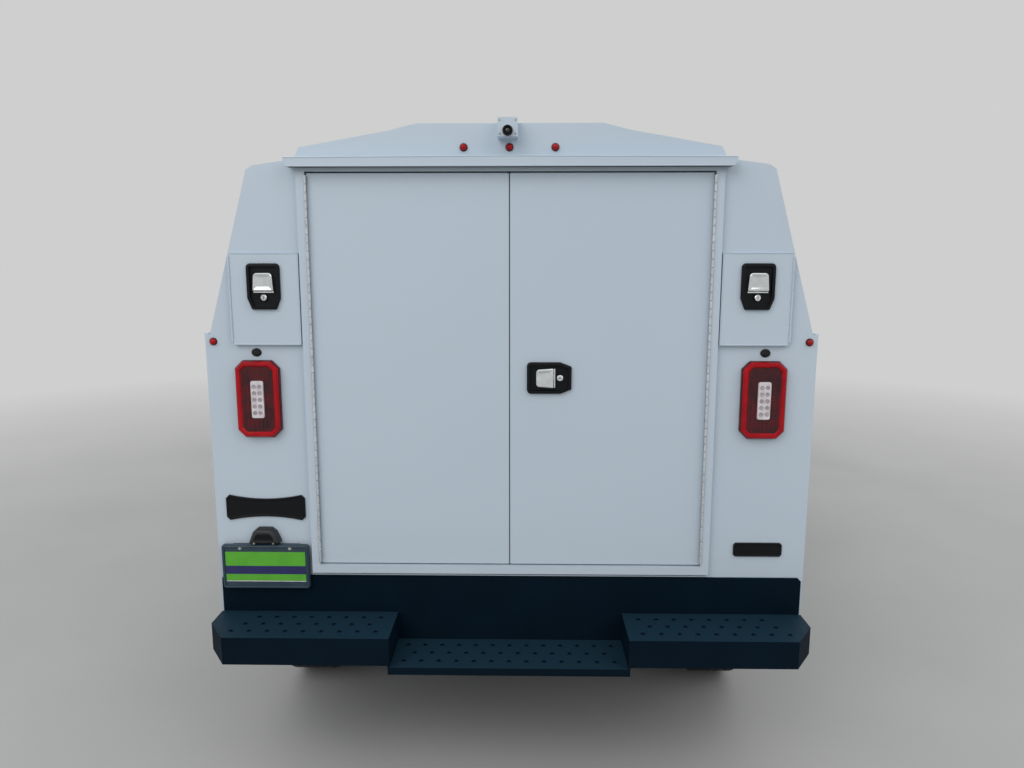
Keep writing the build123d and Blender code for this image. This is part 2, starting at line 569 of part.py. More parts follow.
# ---- cab inside ------------------------------------------------------------
CAB_FLOOR_Z = 660.0
TOE_Y = FRONT_AXLE_Y - 497
FIREWALL_Y = FRONT_AXLE_Y - 150
SHEET = 18.0
with BuildPart() as cab_floor:
    with BuildSketch(side(-912)):
        outline(
            (CAB_BACK_Y, 800), (CAB_BACK_Y, CAB_FLOOR_Z - SHEET), (TOE_Y + SHEET, CAB_FLOOR_Z - SHEET),
            (TOE_Y + SHEET, 872), (FIREWALL_Y + SHEET, 872), (FIREWALL_Y + SHEET, 1212),
            (FIREWALL_Y, 1212), (FIREWALL_Y, 872 + SHEET), (TOE_Y, 872 + SHEET), (TOE_Y, CAB_FLOOR_Z),
            (CAB_BACK_Y + SHEET, CAB_FLOOR_Z), (CAB_BACK_Y + SHEET, 800),
        )
    extrude(amount=1824)
    # engine cover between the footwells
    block((-355, 355), (TOE_Y - 60, FIREWALL_Y + SHEET), (CAB_FLOOR_Z - SHEET, 1040))
    block((-337, 337), (TOE_Y - 42, FIREWALL_Y + SHEET + 5), (600, 1022), mode=Mode.SUBTRACT)
    # rear of each front wheel's housing
    for housing_x in ((532, 912), (-912, -532)):
        block(housing_x, (FIREWALL_Y + SHEET, FRONT_AXLE_Y + 474), (864, 872 + SHEET))
write(cab_floor, "cab_floor")

WHEEL_TILT = 35.0
COLUMN_AXIS = Vector(0, -cos(radians(WHEEL_TILT)), sin(radians(WHEEL_TILT)))
STEERING_CENTRE = Vector(-430, FRONT_AXLE_Y - 575, 1170)
DASH_FRONT_Y = FRONT_AXLE_Y - 445
with BuildPart() as dashboard:
    with BuildSketch(side(-900)):
        outline((FIREWALL_Y - 2, 1225), (DASH_FRONT_Y + 45, 1238), (DASH_FRONT_Y, 1190),
                (DASH_FRONT_Y + 18, 1075), (DASH_FRONT_Y + 80, 1046), (FIREWALL_Y - 2, 1046))
    extrude(amount=1800)
    fillet(dashboard.edges().filter_by(Axis.X).sort_by(Axis.Y)[:2], 20)
    column_end = STEERING_CENTRE - COLUMN_AXIS * 190
    column_start = STEERING_CENTRE - COLUMN_AXIS * 32
    rod(tuple(column_start), tuple(column_end), 30)
write(dashboard, "dashboard")

with BuildPart() as steering_wheel:
    with Locations(Plane(origin=tuple(STEERING_CENTRE), x_dir=(1, 0, 0), z_dir=tuple(COLUMN_AXIS))):
        Torus(186, 14)
        Cylinder(52, 36, align=(Align.CENTER, Align.CENTER, Align.CENTER))
        for spoke in (0, 180, 270):
            with Locations(Rotation(0, 0, spoke)):
                with Locations((112, 0, 0)):
                    Box(144, 30, 14)
write(steering_wheel, "steering_wheel")

with BuildPart() as seats:
    seat_y = CAB_BACK_Y + 100
    with BuildSketch(side(190)):
        outline((seat_y + 230, CAB_FLOOR_Z + 1), (seat_y + 620, CAB_FLOOR_Z + 1), (seat_y + 600, 790),
                (seat_y + 250, 790))
        outline((seat_y + 170, 788), (seat_y + 690, 788), (seat_y + 715, 880), (seat_y + 680, 930),
                (seat_y + 300, 905), (seat_y + 170, 905))
        outline((seat_y + 150, 850), (seat_y + 300, 900), (seat_y + 160, 1480), (seat_y + 60, 1500),
                (seat_y + 20, 1440))
    extrude(amount=480)
    with BuildSketch(side(300)):
        outline((seat_y + 55, 1490), (seat_y + 150, 1478), (seat_y + 125, 1660), (seat_y + 35, 1665))
    extrude(amount=260)
    mirror(about=Plane.YZ)
write(seats, "seats")

# ---- storage packs ---------------------------------------------------------
PACK_IN_X = 700.0               # face towards the walkway
PACK_OUT_X = BODY_HALF_WIDTH
LEDGE_Z = 1572.0                # the sides step in here and lean inwards above
SHELF_Z = 1530.0                # underside of the shelf between lower and upper lockers
ARCH_REAR_RADIUS = 440.0
PARTITION_1_Y = BODY_FRONT_Y - 764.5
PARTITION_2_Y = REAR_AXLE_Y + 475.5
WHEEL_BOX_REAR_Y = REAR_AXLE_Y - 463.5
WHEEL_BOX_TOP = 862.0
PACK_FRONT_Y = BODY_FRONT_Y - WALL
PACK_REAR_Y = REAR_FACE_Y + WALL
LOCKER_X = (PACK_IN_X + WALL, PACK_OUT_X - WALL)
LEAF = 26.0                     # thickness of a locker door
DOOR_LOW_Z = 615.0
DOOR_HIGH_Z = 1525.0
OVER_WHEEL_LOW_Z = 905.0
LOCKER_DOORS = {                # fore-and-aft span and height span of each door opening
    "front_locker_door": ((PARTITION_1_Y + 28, BODY_FRONT_Y - 28), (DOOR_LOW_Z, DOOR_HIGH_Z)),
    "middle_locker_door": ((PARTITION_2_Y + 28, PARTITION_1_Y - 12), (DOOR_LOW_Z, DOOR_HIGH_Z)),
    "over_wheel_door": ((REAR_FACE_Y + 32, PARTITION_2_Y - 12), (OVER_WHEEL_LOW_Z, DOOR_HIGH_Z)),
}
HATCH_X = (708.0, 938.0)        # small rear door of each upper locker
HATCH_Z = (1540.0, 1848.0)
HATCH_LEAF = 12.0

with BuildPart() as side_pack:
    with BuildSketch(station(BODY_FRONT_Y)):
        outline((PACK_IN_X, SKIRT_BOTTOM), (PACK_OUT_X, SKIRT_BOTTOM), (PACK_OUT_X, LEDGE_Z),
                (1024, LEDGE_Z + 4), (872, 2119), (850, 2133), (736, 2149), (PACK_IN_X, 2151))
    extrude(amount=BODY_LENGTH)
    low_z = SKIRT_BOTTOM + WALL
    block(LOCKER_X, (PARTITION_1_Y + WALL, PACK_FRONT_Y), (low_z, SHELF_Z), mode=Mode.SUBTRACT)
    block(LOCKER_X, (PARTITION_2_Y + WALL, PARTITION_1_Y), (low_z, SHELF_Z), mode=Mode.SUBTRACT)
    block(LOCKER_X, (PACK_REAR_Y, PARTITION_2_Y), (WHEEL_BOX_TOP + WALL, SHELF_Z), mode=Mode.SUBTRACT)
    block(LOCKER_X, (PACK_REAR_Y, WHEEL_BOX_REAR_Y - WALL), (low_z, WHEEL_BOX_TOP), mode=Mode.SUBTRACT)
    block(LOCKER_X, (WHEEL_BOX_REAR_Y, PARTITION_2_Y), (SKIRT_BOTTOM - 20, WHEEL_BOX_TOP), mode=Mode.SUBTRACT)
    # upper locker, one space from end to end
    with BuildSketch(station(PACK_FRONT_Y)):
        outline((PACK_IN_X + WALL, SHELF_Z + WALL), (1006, SHELF_Z + WALL), (1006, LEDGE_Z + 6),
                (857, 2108), (840, 2118), (734, 2133), (PACK_IN_X + WALL, 2134))
    extrude(amount=PACK_FRONT_Y - PACK_REAR_Y, mode=Mode.SUBTRACT)
    rod((PACK_OUT_X - WALL - 5, REAR_AXLE_Y, AXLE_Z), (PACK_OUT_X + 5, REAR_AXLE_Y, AXLE_Z),
        ARCH_REAR_RADIUS, mode=Mode.SUBTRACT)
    for span_y, span_z in LOCKER_DOORS.values():
        block((PACK_OUT_X - WALL - 5, PACK_OUT_X + 5), span_y, span_z, mode=Mode.SUBTRACT)
    block((HATCH_X[0] + 6, HATCH_X[1] - 8), (REAR_FACE_Y - 5, PACK_REAR_Y + 5),
          (HATCH_Z[0] + 6, HATCH_Z[1] - 6), mode=Mode.SUBTRACT)
write_pair(side_pack, "side_pack")


def locker_door(span_y, span_z):
    """A flush locker door, a shut line smaller than its opening."""
    with BuildPart() as leaf:
        block((PACK_OUT_X - LEAF, PACK_OUT_X), (span_y[0] + GAP, span_y[1] - GAP),
              (span_z[0] + GAP, span_z[1] - GAP))
        fillet(leaf.edges().filter_by(Axis.X), 8)
    return leaf


for door_name, (span_y, span_z) in LOCKER_DOORS.items():
    write_pair(locker_door(span_y, span_z), door_name)

with BuildPart() as rear_hatch:
    block(HATCH_X, (REAR_FACE_Y - 0.5 - HATCH_LEAF, REAR_FACE_Y - 0.5), HATCH_Z)
    block((HATCH_X[0] + 14, HATCH_X[1] - 14), (REAR_FACE_Y - 1, REAR_FACE_Y + 20),
          (HATCH_Z[0] + 14, HATCH_Z[1] - 14))
write_pair(rear_hatch, "rear_hatch")

# ---- walkway between the packs ---------------------------------------------
WALKWAY_HALF = PACK_IN_X - 1
CROWN_OUTER = ((0, 2264), (307, 2264), (400, 2241), (693, 2190), (712, 2152))
CROWN_INNER = ((684, 2152), (671, 2172), (394, 2220), (304, 2243), (0, 2243))
RAIL_LOW_Z = 2124.0
with BuildPart() as load_floor:
    block((-WALKWAY_HALF, WALKWAY_HALF), (REAR_FACE_Y, BODY_FRONT_Y - 26), (FLOOR_TOP - 6, FLOOR_TOP))
    for sill in range(7):
        sill_y = REAR_FACE_Y + 240 + sill * 390
        block((-WALKWAY_HALF, WALKWAY_HALF), (sill_y - 30, sill_y + 30), (RAIL_TOP + 1, FLOOR_TOP - 6))
    block((-WALKWAY_HALF, WALKWAY_HALF), (REAR_FACE_Y, RAIL_REAR_Y - 1), (SKIRT_BOTTOM + 1, FLOOR_TOP - 6))
write(load_floor, "load_floor")

with BuildPart() as bulkhead:
    with BuildSketch(station(BODY_FRONT_Y)):
        outline((0, FLOOR_TOP - 38), (WALKWAY_HALF, FLOOR_TOP - 38), (WALKWAY_HALF, 2150), (682, 2152),
                (669, 2171), (393, 2219), (303, 2242), (0, 2242))
        mirror(about=Plane.YZ)
    extrude(amount=25)
write(bulkhead, "bulkhead")

with BuildPart() as roof_cap:
    with BuildSketch(station(BODY_FRONT_Y)):
        outline(*CROWN_OUTER, *CROWN_INNER)
        mirror(about=Plane.YZ)
    extrude(amount=BODY_LENGTH)
    # rear fascia above the doors
    with BuildSketch(station(REAR_FACE_Y + 20)):
        outline(*CROWN_OUTER, (WALKWAY_HALF, 2152), (WALKWAY_HALF, RAIL_LOW_Z), (0, RAIL_LOW_Z))
        mirror(about=Plane.YZ)
    extrude(amount=20)
    # drip rail
    with BuildSketch(station(REAR_FACE_Y)):
        outline((0, RAIL_LOW_Z), (722, RAIL_LOW_Z), (733, 2136), (733, 2152), (0, 2156))
        mirror(about=Plane.YZ)
    extrude(amount=50)
write(roof_cap, "roof_cap")

PORTAL_OUT_X = 702.0
PORTAL_IN_X = 674.0
PORTAL_LOW_Z = 725.0
PORTAL_HIGH_Z = RAIL_LOW_Z - 1
OPENING_Z = (755.0, 2111.0)
PORTAL_FACE_Y = REAR_FACE_Y - 18
with BuildPart() as rear_portal:
    block((-PORTAL_OUT_X, PORTAL_OUT_X), (PORTAL_FACE_Y, REAR_FACE_Y - 0.5), (PORTAL_LOW_Z, PORTAL_HIGH_Z))
    block((-WALKWAY_HALF + 1, WALKWAY_HALF - 1), (REAR_FACE_Y - 1, REAR_FACE_Y + 54),
          (FLOOR_TOP + 1, PORTAL_HIGH_Z))
    block((-PORTAL_IN_X, PORTAL_IN_X), (PORTAL_FACE_Y - 5, REAR_FACE_Y + 60), OPENING_Z, mode=Mode.SUBTRACT)
write(rear_portal, "rear_portal")

DOOR_OUT_X = PORTAL_IN_X - 5
DOOR_IN_X = 4.5
DOOR_FACE_Y = PORTAL_FACE_Y + 9
with BuildPart() as rear_door:
    block((DOOR_IN_X, DOOR_OUT_X), (DOOR_FACE_Y, DOOR_FACE_Y + 40), (OPENING_Z[0] + 5, OPENING_Z[1] - 5))
    # pressed inner pan behind the outer sheet
    block((DOOR_IN_X + 60, DOOR_OUT_X - 60), (DOOR_FACE_Y + 14, DOOR_FACE_Y + 45),
          (OPENING_Z[0] + 65, OPENING_Z[1] - 65), mode=Mode.SUBTRACT)
write_pair(rear_door, "rear_door")

# ---- rear fittings ---------------------------------------------------------
LATCH_SLAB = 14.0
with BuildPart() as rear_latch:
    block((59, 211), (DOOR_FACE_Y - LATCH_SLAB, DOOR_FACE_Y), (1374, 1482))
    fillet(rear_latch.edges().filter_by(Axis.Y), 12)
write(rear_latch, "rear_latch")

HATCH_FACE_Y = REAR_FACE_Y - 0.5 - HATCH_LEAF
with BuildPart() as hatch_latch:
    block((770, 882), (HATCH_FACE_Y - LATCH_SLAB, HATCH_FACE_Y), (1660, 1814))
    fillet(hatch_latch.edges().filter_by(Axis.Y), 12)
write_pair(hatch_latch, "hatch_latch")

with BuildPart() as tail_lights:
    with BuildSketch(station(REAR_FACE_Y)):
        with Locations((865, 1352)):
            Rectangle(153, 269)
        chamfer(vertices(), 27)
    extrude(amount=28)
    mirror(about=Plane.YZ)
write(tail_lights, "tail_lights")

MARKER_LAMPS = ((-150, 2188, 12.7), (0, 2188, 12.7), (150, 2188, 12.7), (-1014, 1550, 13.5), (1014, 1550, 13.5))
with BuildPart() as marker_lights:
    for lamp_x, lamp_z, lamp_radius in MARKER_LAMPS:
        rod((lamp_x, REAR_FACE_Y, lamp_z), (lamp_x, REAR_FACE_Y - 14, lamp_z), lamp_radius)
write(marker_lights, "marker_lights")

PLATE_X = -867.0
PLATE_BOLTS_X = (PLATE_X - 89, PLATE_X + 89)
with BuildPart() as licence_plate:
    block((PLATE_X - 155, PLATE_X + 155), (REAR_FACE_Y - 24, REAR_FACE_Y - 12), (667, 830))
    block((PLATE_X - 120, PLATE_X + 120), (REAR_FACE_Y - 13, REAR_FACE_Y), (715, 830))
    for hole_x in PLATE_BOLTS_X:
        rod((hole_x, REAR_FACE_Y - 30, 808), (hole_x, REAR_FACE_Y + 1, 808), 3.3, mode=Mode.SUBTRACT)
    with BuildSketch(station(REAR_FACE_Y)):
        outline((PLATE_X - 56, 836), (PLATE_X + 60, 836), (PLATE_X + 40, 876), (PLATE_X + 22, 890),
                (PLATE_X - 22, 890), (PLATE_X - 40, 876))
    extrude(amount=36)
write(licence_plate, "licence_plate")

with BuildPart() as backup_camera:
    block((-37.5, 27.5), (REAR_FACE_Y - 58, REAR_FACE_Y), (2213, 2272))
    rod((-5, REAR_FACE_Y - 50, 2233), (-5, REAR_FACE_Y - 64, 2233), 15)
write(backup_camera, "backup_camera")

with BuildPart() as kick_band:
    block((-1034, 1034), (REAR_FACE_Y - 6, REAR_FACE_Y), (SKIRT_BOTTOM + 1, 710))
    chamfer(kick_band.edges().filter_by(Axis.Y).group_by(Axis.Z)[-1], 12)
write(kick_band, "kick_band")

BUMPER_TOP = SKIRT_BOTTOM
BUMPER_LOW = 476.0
STEP_TOP = 470.0
STEP_LOW = 444.0
RECESS_X = 402.0
PLATE = 6.0


def bumper_end(inset=0.0):
    """Plan of one end of the bumper, in the sketch's own frame."""
    outline((RECESS_X + inset, REAR_FACE_Y - 6 - inset), (1040 - inset, REAR_FACE_Y - 6 - inset),
            (1040 - inset, REAR_FACE_Y - 102 + inset * 0.4), (966 - inset * 0.6, BUMPER_FACE_Y + inset),
            (RECESS_X + inset, BUMPER_FACE_Y + inset))


with BuildPart() as rear_bumper:
    with BuildSketch(Plane.XY.offset(BUMPER_LOW)):
        bumper_end()
    extrude(amount=BUMPER_TOP - BUMPER_LOW)
    with BuildSketch(Plane.XY.offset(BUMPER_LOW - 1)):
        bumper_end(PLATE)
    extrude(amount=BUMPER_TOP - PLATE - BUMPER_LOW + 1, mode=Mode.SUBTRACT)
    block((RECESS_X, RECESS_X + PLATE), (BUMPER_FACE_Y, REAR_FACE_Y - 6), (STEP_LOW, BUMPER_TOP))
    block((372, 432), (REAR_FACE_Y - 1, REAR_FACE_Y + 160), (490, 554))
    mirror(about=Plane.YZ)
    # back plate and the lower middle step
    block((-1034, 1034), (REAR_FACE_Y - 6, REAR_FACE_Y), (STEP_LOW, BUMPER_TOP))
    block((-RECESS_X - PLATE, RECESS_X + PLATE), (BUMPER_FACE_Y, REAR_FACE_Y), (STEP_LOW, STEP_TOP))
    block((-RECESS_X, RECESS_X), (BUMPER_FACE_Y + PLATE, REAR_FACE_Y - 6), (STEP_LOW - 1, STEP_TOP - PLATE),
          mode=Mode.SUBTRACT)
write(rear_bumper, "rear_bumper")
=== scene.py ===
"""Looks of the enclosed service van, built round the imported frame.

Lengths in this file are millimetres in the row frame (+X right, +Y forward, +Z up) and become
metres as a piece is made.
"""
import json
import math

import bmesh
import bpy
from mathutils import Matrix, Vector
from mathutils.bvhtree import BVHTree


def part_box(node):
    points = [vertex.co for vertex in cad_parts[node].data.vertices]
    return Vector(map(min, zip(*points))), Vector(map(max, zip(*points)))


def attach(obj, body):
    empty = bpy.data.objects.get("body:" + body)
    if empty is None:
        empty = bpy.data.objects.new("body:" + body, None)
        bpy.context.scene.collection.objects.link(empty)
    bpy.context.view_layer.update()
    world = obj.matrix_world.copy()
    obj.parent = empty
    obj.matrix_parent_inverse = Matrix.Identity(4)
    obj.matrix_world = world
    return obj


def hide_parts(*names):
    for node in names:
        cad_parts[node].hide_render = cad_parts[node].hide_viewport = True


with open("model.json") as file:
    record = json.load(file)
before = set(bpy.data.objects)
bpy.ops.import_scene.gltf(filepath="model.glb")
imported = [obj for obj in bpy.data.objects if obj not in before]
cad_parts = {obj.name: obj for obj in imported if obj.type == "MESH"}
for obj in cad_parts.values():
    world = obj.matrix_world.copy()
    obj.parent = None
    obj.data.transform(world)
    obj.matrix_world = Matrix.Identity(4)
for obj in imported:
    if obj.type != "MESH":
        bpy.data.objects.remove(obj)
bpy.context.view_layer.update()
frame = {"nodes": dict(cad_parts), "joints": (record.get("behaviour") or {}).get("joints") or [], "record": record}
NODES = frame["nodes"]
MM = 0.001
RIGHT, LEFT = (1, 0, 0), (-1, 0, 0)
AHEAD, BACK = (0, 1, 0), (0, -1, 0)
UP, DOWN = (0, 0, 1), (0, 0, -1)


# ---- where things are -------------------------------------------------------
def span(node):
    """Lowest and highest corner of a CAD node, in millimetres."""
    low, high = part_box(node)
    return low / MM, high / MM


def joint_place(name):
    """Where a joint's axis passes, in millimetres."""
    for joint in frame["joints"]:
        if joint["name"] == name:
            return Vector(joint["pos_m"]) / MM
    raise KeyError(name)


_trees = {}


def touch(node, point, direction):
    """First point of a CAD node's surface met from point along direction, and the normal there."""
    if node not in _trees:
        mesh = NODES[node].data
        corners = [v.co / MM for v in mesh.vertices]
        _trees[node] = BVHTree.FromPolygons(corners, [p.vertices for p in mesh.polygons])
    place, normal, _, _ = _trees[node].ray_cast(Vector(point), Vector(direction).normalized())
    return place, normal


FAR = 3600.0


def from_front(node, x, z):
    return touch(node, (x, FAR, z), BACK)


def from_above(node, x, y):
    return touch(node, (x, y, FAR), DOWN)


def from_side(node, s, y, z):
    return touch(node, (s * FAR, y, z), (-s, 0, 0))


def even(low, high, count):
    """Numbers from low to high in count even steps."""
    return [low + (high - low) * k / count for k in range(count + 1)]


DOOR_LOW, DOOR_HIGH = span("rear_door_right")
PACK_LOW, PACK_HIGH = span("side_pack_right")
REAR_Y = PACK_LOW.y
FRONT_AXLE = joint_place("spin_front_right")
REAR_AXLE = joint_place("spin_rear_right")
SIDES = (("left", -1), ("right", 1))


# ---- materials --------------------------------------------------------------
def srgb(red, green, blue):
    """A display colour, 0 to 255, as the linear colour a shader takes."""
    linear = [c / 12.92 if c <= 0.04045 else ((c + 0.055) / 1.055) ** 2.4
              for c in (red / 255, green / 255, blue / 255)]
    return (*linear, 1.0)


class Finish:
    """A procedural material: one shader whose colour, roughness and relief vary over the piece.

    Colours are display colours, 0 to 255. tones is the second colour and the scale at which it comes
    and goes, and gloss is how far the roughness strays and at what scale."""

    def __init__(self, name, base, rough, tones, gloss, **constants):
        self.material = bpy.data.materials.new(name)
        self.material.use_nodes = True
        self.tree = self.material.node_tree
        self.shader = self.tree.nodes["Principled BSDF"]
        self.shader.inputs["Base Color"].default_value = srgb(*base)
        self.shader.inputs["Roughness"].default_value = rough
        for socket, value in constants.items():
            self.shader.inputs[socket.replace("_", " ")].default_value = value
        self.base, self.rough = srgb(*base), rough
        self.colour_out = self.height = None
        self.places = self.node("ShaderNodeTexCoord").outputs["Object"]
        self.mottle(*tones)
        self.vary_gloss(*gloss)

    def node(self, kind, **settings):
        made = self.tree.nodes.new(kind)
        for key, value in settings.items():
            setattr(made, key, value)
        return made

    def link(self, out, into):
        self.tree.links.new(out, into)

    def noise(self, scale, detail=4.0):
        noise = self.node("ShaderNodeTexNoise")
        noise.inputs["Scale"].default_value = scale
        noise.inputs["Detail"].default_value = detail
        self.link(self.places, noise.inputs["Vector"])
        return noise.outputs["Fac"]

    def ramp(self, value, low, high, out_low=0.0, out_high=1.0):
        spread = self.node("ShaderNodeMapRange")
        for socket, number in (("From Min", low), ("From Max", high),
                               ("To Min", out_low), ("To Max", out_high)):
            spread.inputs[socket].default_value = number
        self.link(value, spread.inputs["Value"])
        return spread.outputs["Result"]

    def math(self, operation, first, second):
        node = self.node("ShaderNodeMath", operation=operation)
        for socket, value in zip(node.inputs, (first, second)):
            if isinstance(value, (int, float)):
                socket.default_value = value
            else:
                self.link(value, socket)
        return node.outputs["Value"]

    def mottle(self, second, scale, low=0.35, high=0.7, detail=5.0):
        """Mix a second colour in by noise."""
        return self.cover(second, self.ramp(self.noise(scale, detail), low, high))

    def cover(self, second, factor):
        mix = self.node("ShaderNodeMix", data_type="RGBA")
        if self.colour_out is None:
            mix.inputs["A"].default_value = self.base
        else:
            self.link(self.colour_out, mix.inputs["A"])
        mix.inputs["B"].default_value = srgb(*second)
        self.link(factor, mix.inputs["Factor"])
        self.colour_out = mix.outputs["Result"]
        self.link(self.colour_out, self.shader.inputs["Base Color"])
        return self

    def vary_gloss(self, amount, scale):
        smoothest = max(self.rough - amount, 0.02)
        rough = self.ramp(self.noise(scale), 0.1, 0.9, smoothest, self.rough + amount)
        self.link(rough, self.shader.inputs["Roughness"])
        return self

    def relief(self, value, depth):
        """Bump from a 0 to 1 value, depth in millimetres."""
        bump = self.node("ShaderNodeBump")
        bump.inputs["Strength"].default_value = 1.0
        bump.inputs["Distance"].default_value = depth * MM
        self.link(value, bump.inputs["Height"])
        if self.height is not None:
            self.link(self.height, bump.inputs["Normal"])
        self.height = bump.outputs["Normal"]
        self.link(self.height, self.shader.inputs["Normal"])
        return self

    def grain(self, scale, depth, detail=3.0):
        return self.relief(self.noise(scale, detail), depth)

    def cells(self, scale, depth):
        cell = self.node("ShaderNodeTexVoronoi")
        cell.inputs["Scale"].default_value = scale
        self.link(self.places, cell.inputs["Vector"])
        return self.relief(cell.outputs["Distance"], depth)

    def waves(self, scale, depth, direction):
        wave = self.node("ShaderNodeTexWave", wave_type="BANDS", bands_direction=direction)
        wave.inputs["Scale"].default_value = scale
        wave.inputs["Distortion"].default_value = 0.4
        self.link(self.places, wave.inputs["Vector"])
        return self.relief(wave.outputs["Fac"], depth)

    def painted_top_light(self, tint, amount):
        """Paler colour on the faces that look up: painted light from above on the tops."""
        facing_up = self.node("ShaderNodeSeparateXYZ")
        self.link(self.node("ShaderNodeNewGeometry").outputs["Normal"], facing_up.inputs["Vector"])
        return self.cover(tint, self.ramp(facing_up.outputs["Z"], 0.6, 0.95, 0.0, amount))

    def dust(self, tint, top, bottom, amount):
        """Road film that thickens towards the ground, heights in millimetres."""
        height = self.node("ShaderNodeSeparateXYZ")
        self.link(self.places, height.inputs["Vector"])
        low = self.ramp(height.outputs["Z"], top * MM, bottom * MM, 0.0, amount)
        patch = self.ramp(self.noise(9.0, 6.0), 0.25, 0.75, 0.35, 1.0)
        return self.cover(tint, self.math("MULTIPLY", low, patch))


# white paint whose blue-grey tone is painted sky shade
SKY_SHADED_WHITE = (196, 208, 219)
FILM = (150, 146, 138)


def enamel(name, base, shade):
    made = Finish(name, base, 0.36, (shade, 0.9, 0.0, 1.0, 1.0), (0.04, 1.6), Coat_Weight=0.12,
                  Coat_Roughness=0.26, Specular_IOR_Level=0.36)
    return made.grain(170.0, 0.03, 2.0).dust(FILM, 900, 380, 0.22).material


BODY = enamel("body_enamel", SKY_SHADED_WHITE, (188, 202, 214))
# the cab's blue-grey white is also white paint with painted sky shade in its colour
CAB = enamel("cab_enamel", (198, 208, 218), (192, 203, 214))
BAND = (Finish("blue_black_texture_coat", (5, 21, 33), 0.62, ((7, 25, 38), 4.0), (0.08, 30.0),
               Specular_IOR_Level=0.05)
        # the paler tops are painted light from above
        .painted_top_light((27, 50, 64), 0.9).cells(420.0, 0.08).grain(900.0, 0.05)
        .dust((52, 62, 70), 600, 430, 0.04).material)
CHASSIS = (Finish("chassis_wax", (24, 24, 25), 0.55, ((38, 36, 33), 9.0), (0.12, 14.0))
           .grain(60.0, 0.25).dust((84, 76, 66), 700, 200, 0.45).material)
CAST = (Finish("rough_casting", (92, 92, 93), 0.62, ((64, 60, 56), 7.0), (0.14, 22.0), Metallic=0.75)
        .grain(220.0, 0.35).dust((90, 80, 68), 600, 200, 0.4).material)
# near-black disc in each grip dimple: painted shade of the punched hole
HOLE_SHADE = (Finish("painted_hole_shade", (1, 6, 11), 0.8, ((3, 9, 14), 60.0), (0.05, 60.0),
              Specular_IOR_Level=0.02).material)
EXHAUST = (Finish("heat_dulled_steel", (150, 143, 132), 0.42, ((104, 84, 66), 5.0), (0.12, 18.0),
                  Metallic=1.0)
           .grain(130.0, 0.12).material)
WHEEL = (Finish("silver_wheel_enamel", (172, 175, 178), 0.36, ((150, 151, 152), 6.0), (0.08, 12.0),
                Metallic=0.55, Coat_Weight=0.3)
         .grain(260.0, 0.06).dust((96, 88, 78), 640, 160, 0.35).material)
RUBBER = (Finish("tyre_rubber", (30, 30, 31), 0.78, ((44, 43, 42), 5.0), (0.10, 16.0),
                 Specular_IOR_Level=0.35)
          .grain(300.0, 0.12).dust((92, 86, 78), 200, 0, 0.35).material)
SEAL = (Finish("soft_seal", (19, 19, 20), 0.66, ((27, 27, 28), 14.0), (0.08, 20.0),
               Specular_IOR_Level=0.3)
        .grain(500.0, 0.05).material)
PLASTIC = (Finish("grained_black_moulding", (27, 28, 30), 0.55, ((35, 36, 38), 6.0), (0.08, 20.0))
           .cells(750.0, 0.10).material)
GREY = (Finish("satin_dark_grey_moulding", (66, 69, 72), 0.45, ((58, 61, 64), 5.0), (0.07, 14.0))
        .grain(600.0, 0.05).material)
LATCH = (Finish("satin_black_latch", (5, 8, 12), 0.46, ((9, 12, 16), 20.0), (0.08, 40.0),
                Specular_IOR_Level=0.2)
         .cells(1200.0, 0.05).material)
CHROME = (Finish("bright_chrome", (232, 234, 236), 0.12, ((208, 211, 214), 30.0), (0.06, 60.0),
                 Metallic=1.0)
          .grain(90.0, 0.03).material)
ZINC = (Finish("zinc_plate", (178, 178, 172), 0.44, ((140, 138, 128), 25.0), (0.10, 50.0), Metallic=0.55)
        .grain(500.0, 0.04).material)
TRIM = (Finish("cab_trim_grain", (74, 75, 78), 0.62, ((66, 67, 70), 4.0), (0.06, 12.0))
        .cells(520.0, 0.14).material)
LINER = (Finish("pale_cab_liner", (168, 167, 162), 0.85, ((158, 157, 152), 6.0), (0.05, 12.0))
         .grain(900.0, 0.12).material)
FLOOR_PLATE = (Finish("tread_plate", (172, 174, 176), 0.34, ((150, 151, 152), 4.0), (0.12, 9.0),
                      Metallic=0.9)
               .grain(90.0, 0.05).material)
GLASS = (Finish("tinted_glass", (214, 228, 224), 0.03, ((208, 224, 220), 2.0), (0.01, 3.0),
                Transmission_Weight=1.0, IOR=1.45)
         .grain(1.5, 0.1).material)
MIRROR_GLASS = (Finish("mirror_glass", (205, 210, 214), 0.03, ((198, 204, 209), 4.0), (0.01, 4.0),
                       Metallic=1.0)
                .grain(2.0, 0.05).material)
SEAT_CLOTH = (Finish("woven_seat_cloth", (70, 72, 76), 0.92, ((58, 60, 64), 30.0), (0.05, 40.0),
                     Sheen_Weight=0.3, Sheen_Roughness=0.4)
              .waves(220.0, 0.25, "X").waves(220.0, 0.25, "Z").grain(900.0, 0.15).material)
SEAT_VINYL = (Finish("seat_side_vinyl", (52, 54, 57), 0.55, ((46, 48, 51), 8.0), (0.08, 20.0),
                     Specular_IOR_Level=0.35)
              .cells(600.0, 0.18).material)
BELT = (Finish("belt_webbing", (28, 28, 30), 0.75, ((38, 38, 40), 60.0), (0.06, 60.0))
        .waves(300.0, 0.3, "Z").material)
COOLER = (Finish("radiator_fins", (96, 98, 100), 0.50, ((70, 70, 70), 12.0), (0.1, 20.0), Metallic=0.8)
          .waves(240.0, 0.8, "X").material)
CLEAR = (Finish("clear_lens", (236, 240, 242), 0.05, ((226, 232, 236), 6.0), (0.02, 8.0),
                Transmission_Weight=0.92, IOR=1.45)
         .grain(30.0, 0.05).material)
RED = (Finish("red_lens", (178, 0, 16), 0.30, ((146, 0, 14), 22.0), (0.04, 30.0), Coat_Weight=0.12,
              Coat_Roughness=0.05, Specular_IOR_Level=0.2)
       .waves(190.0, 0.12, "Z").material)
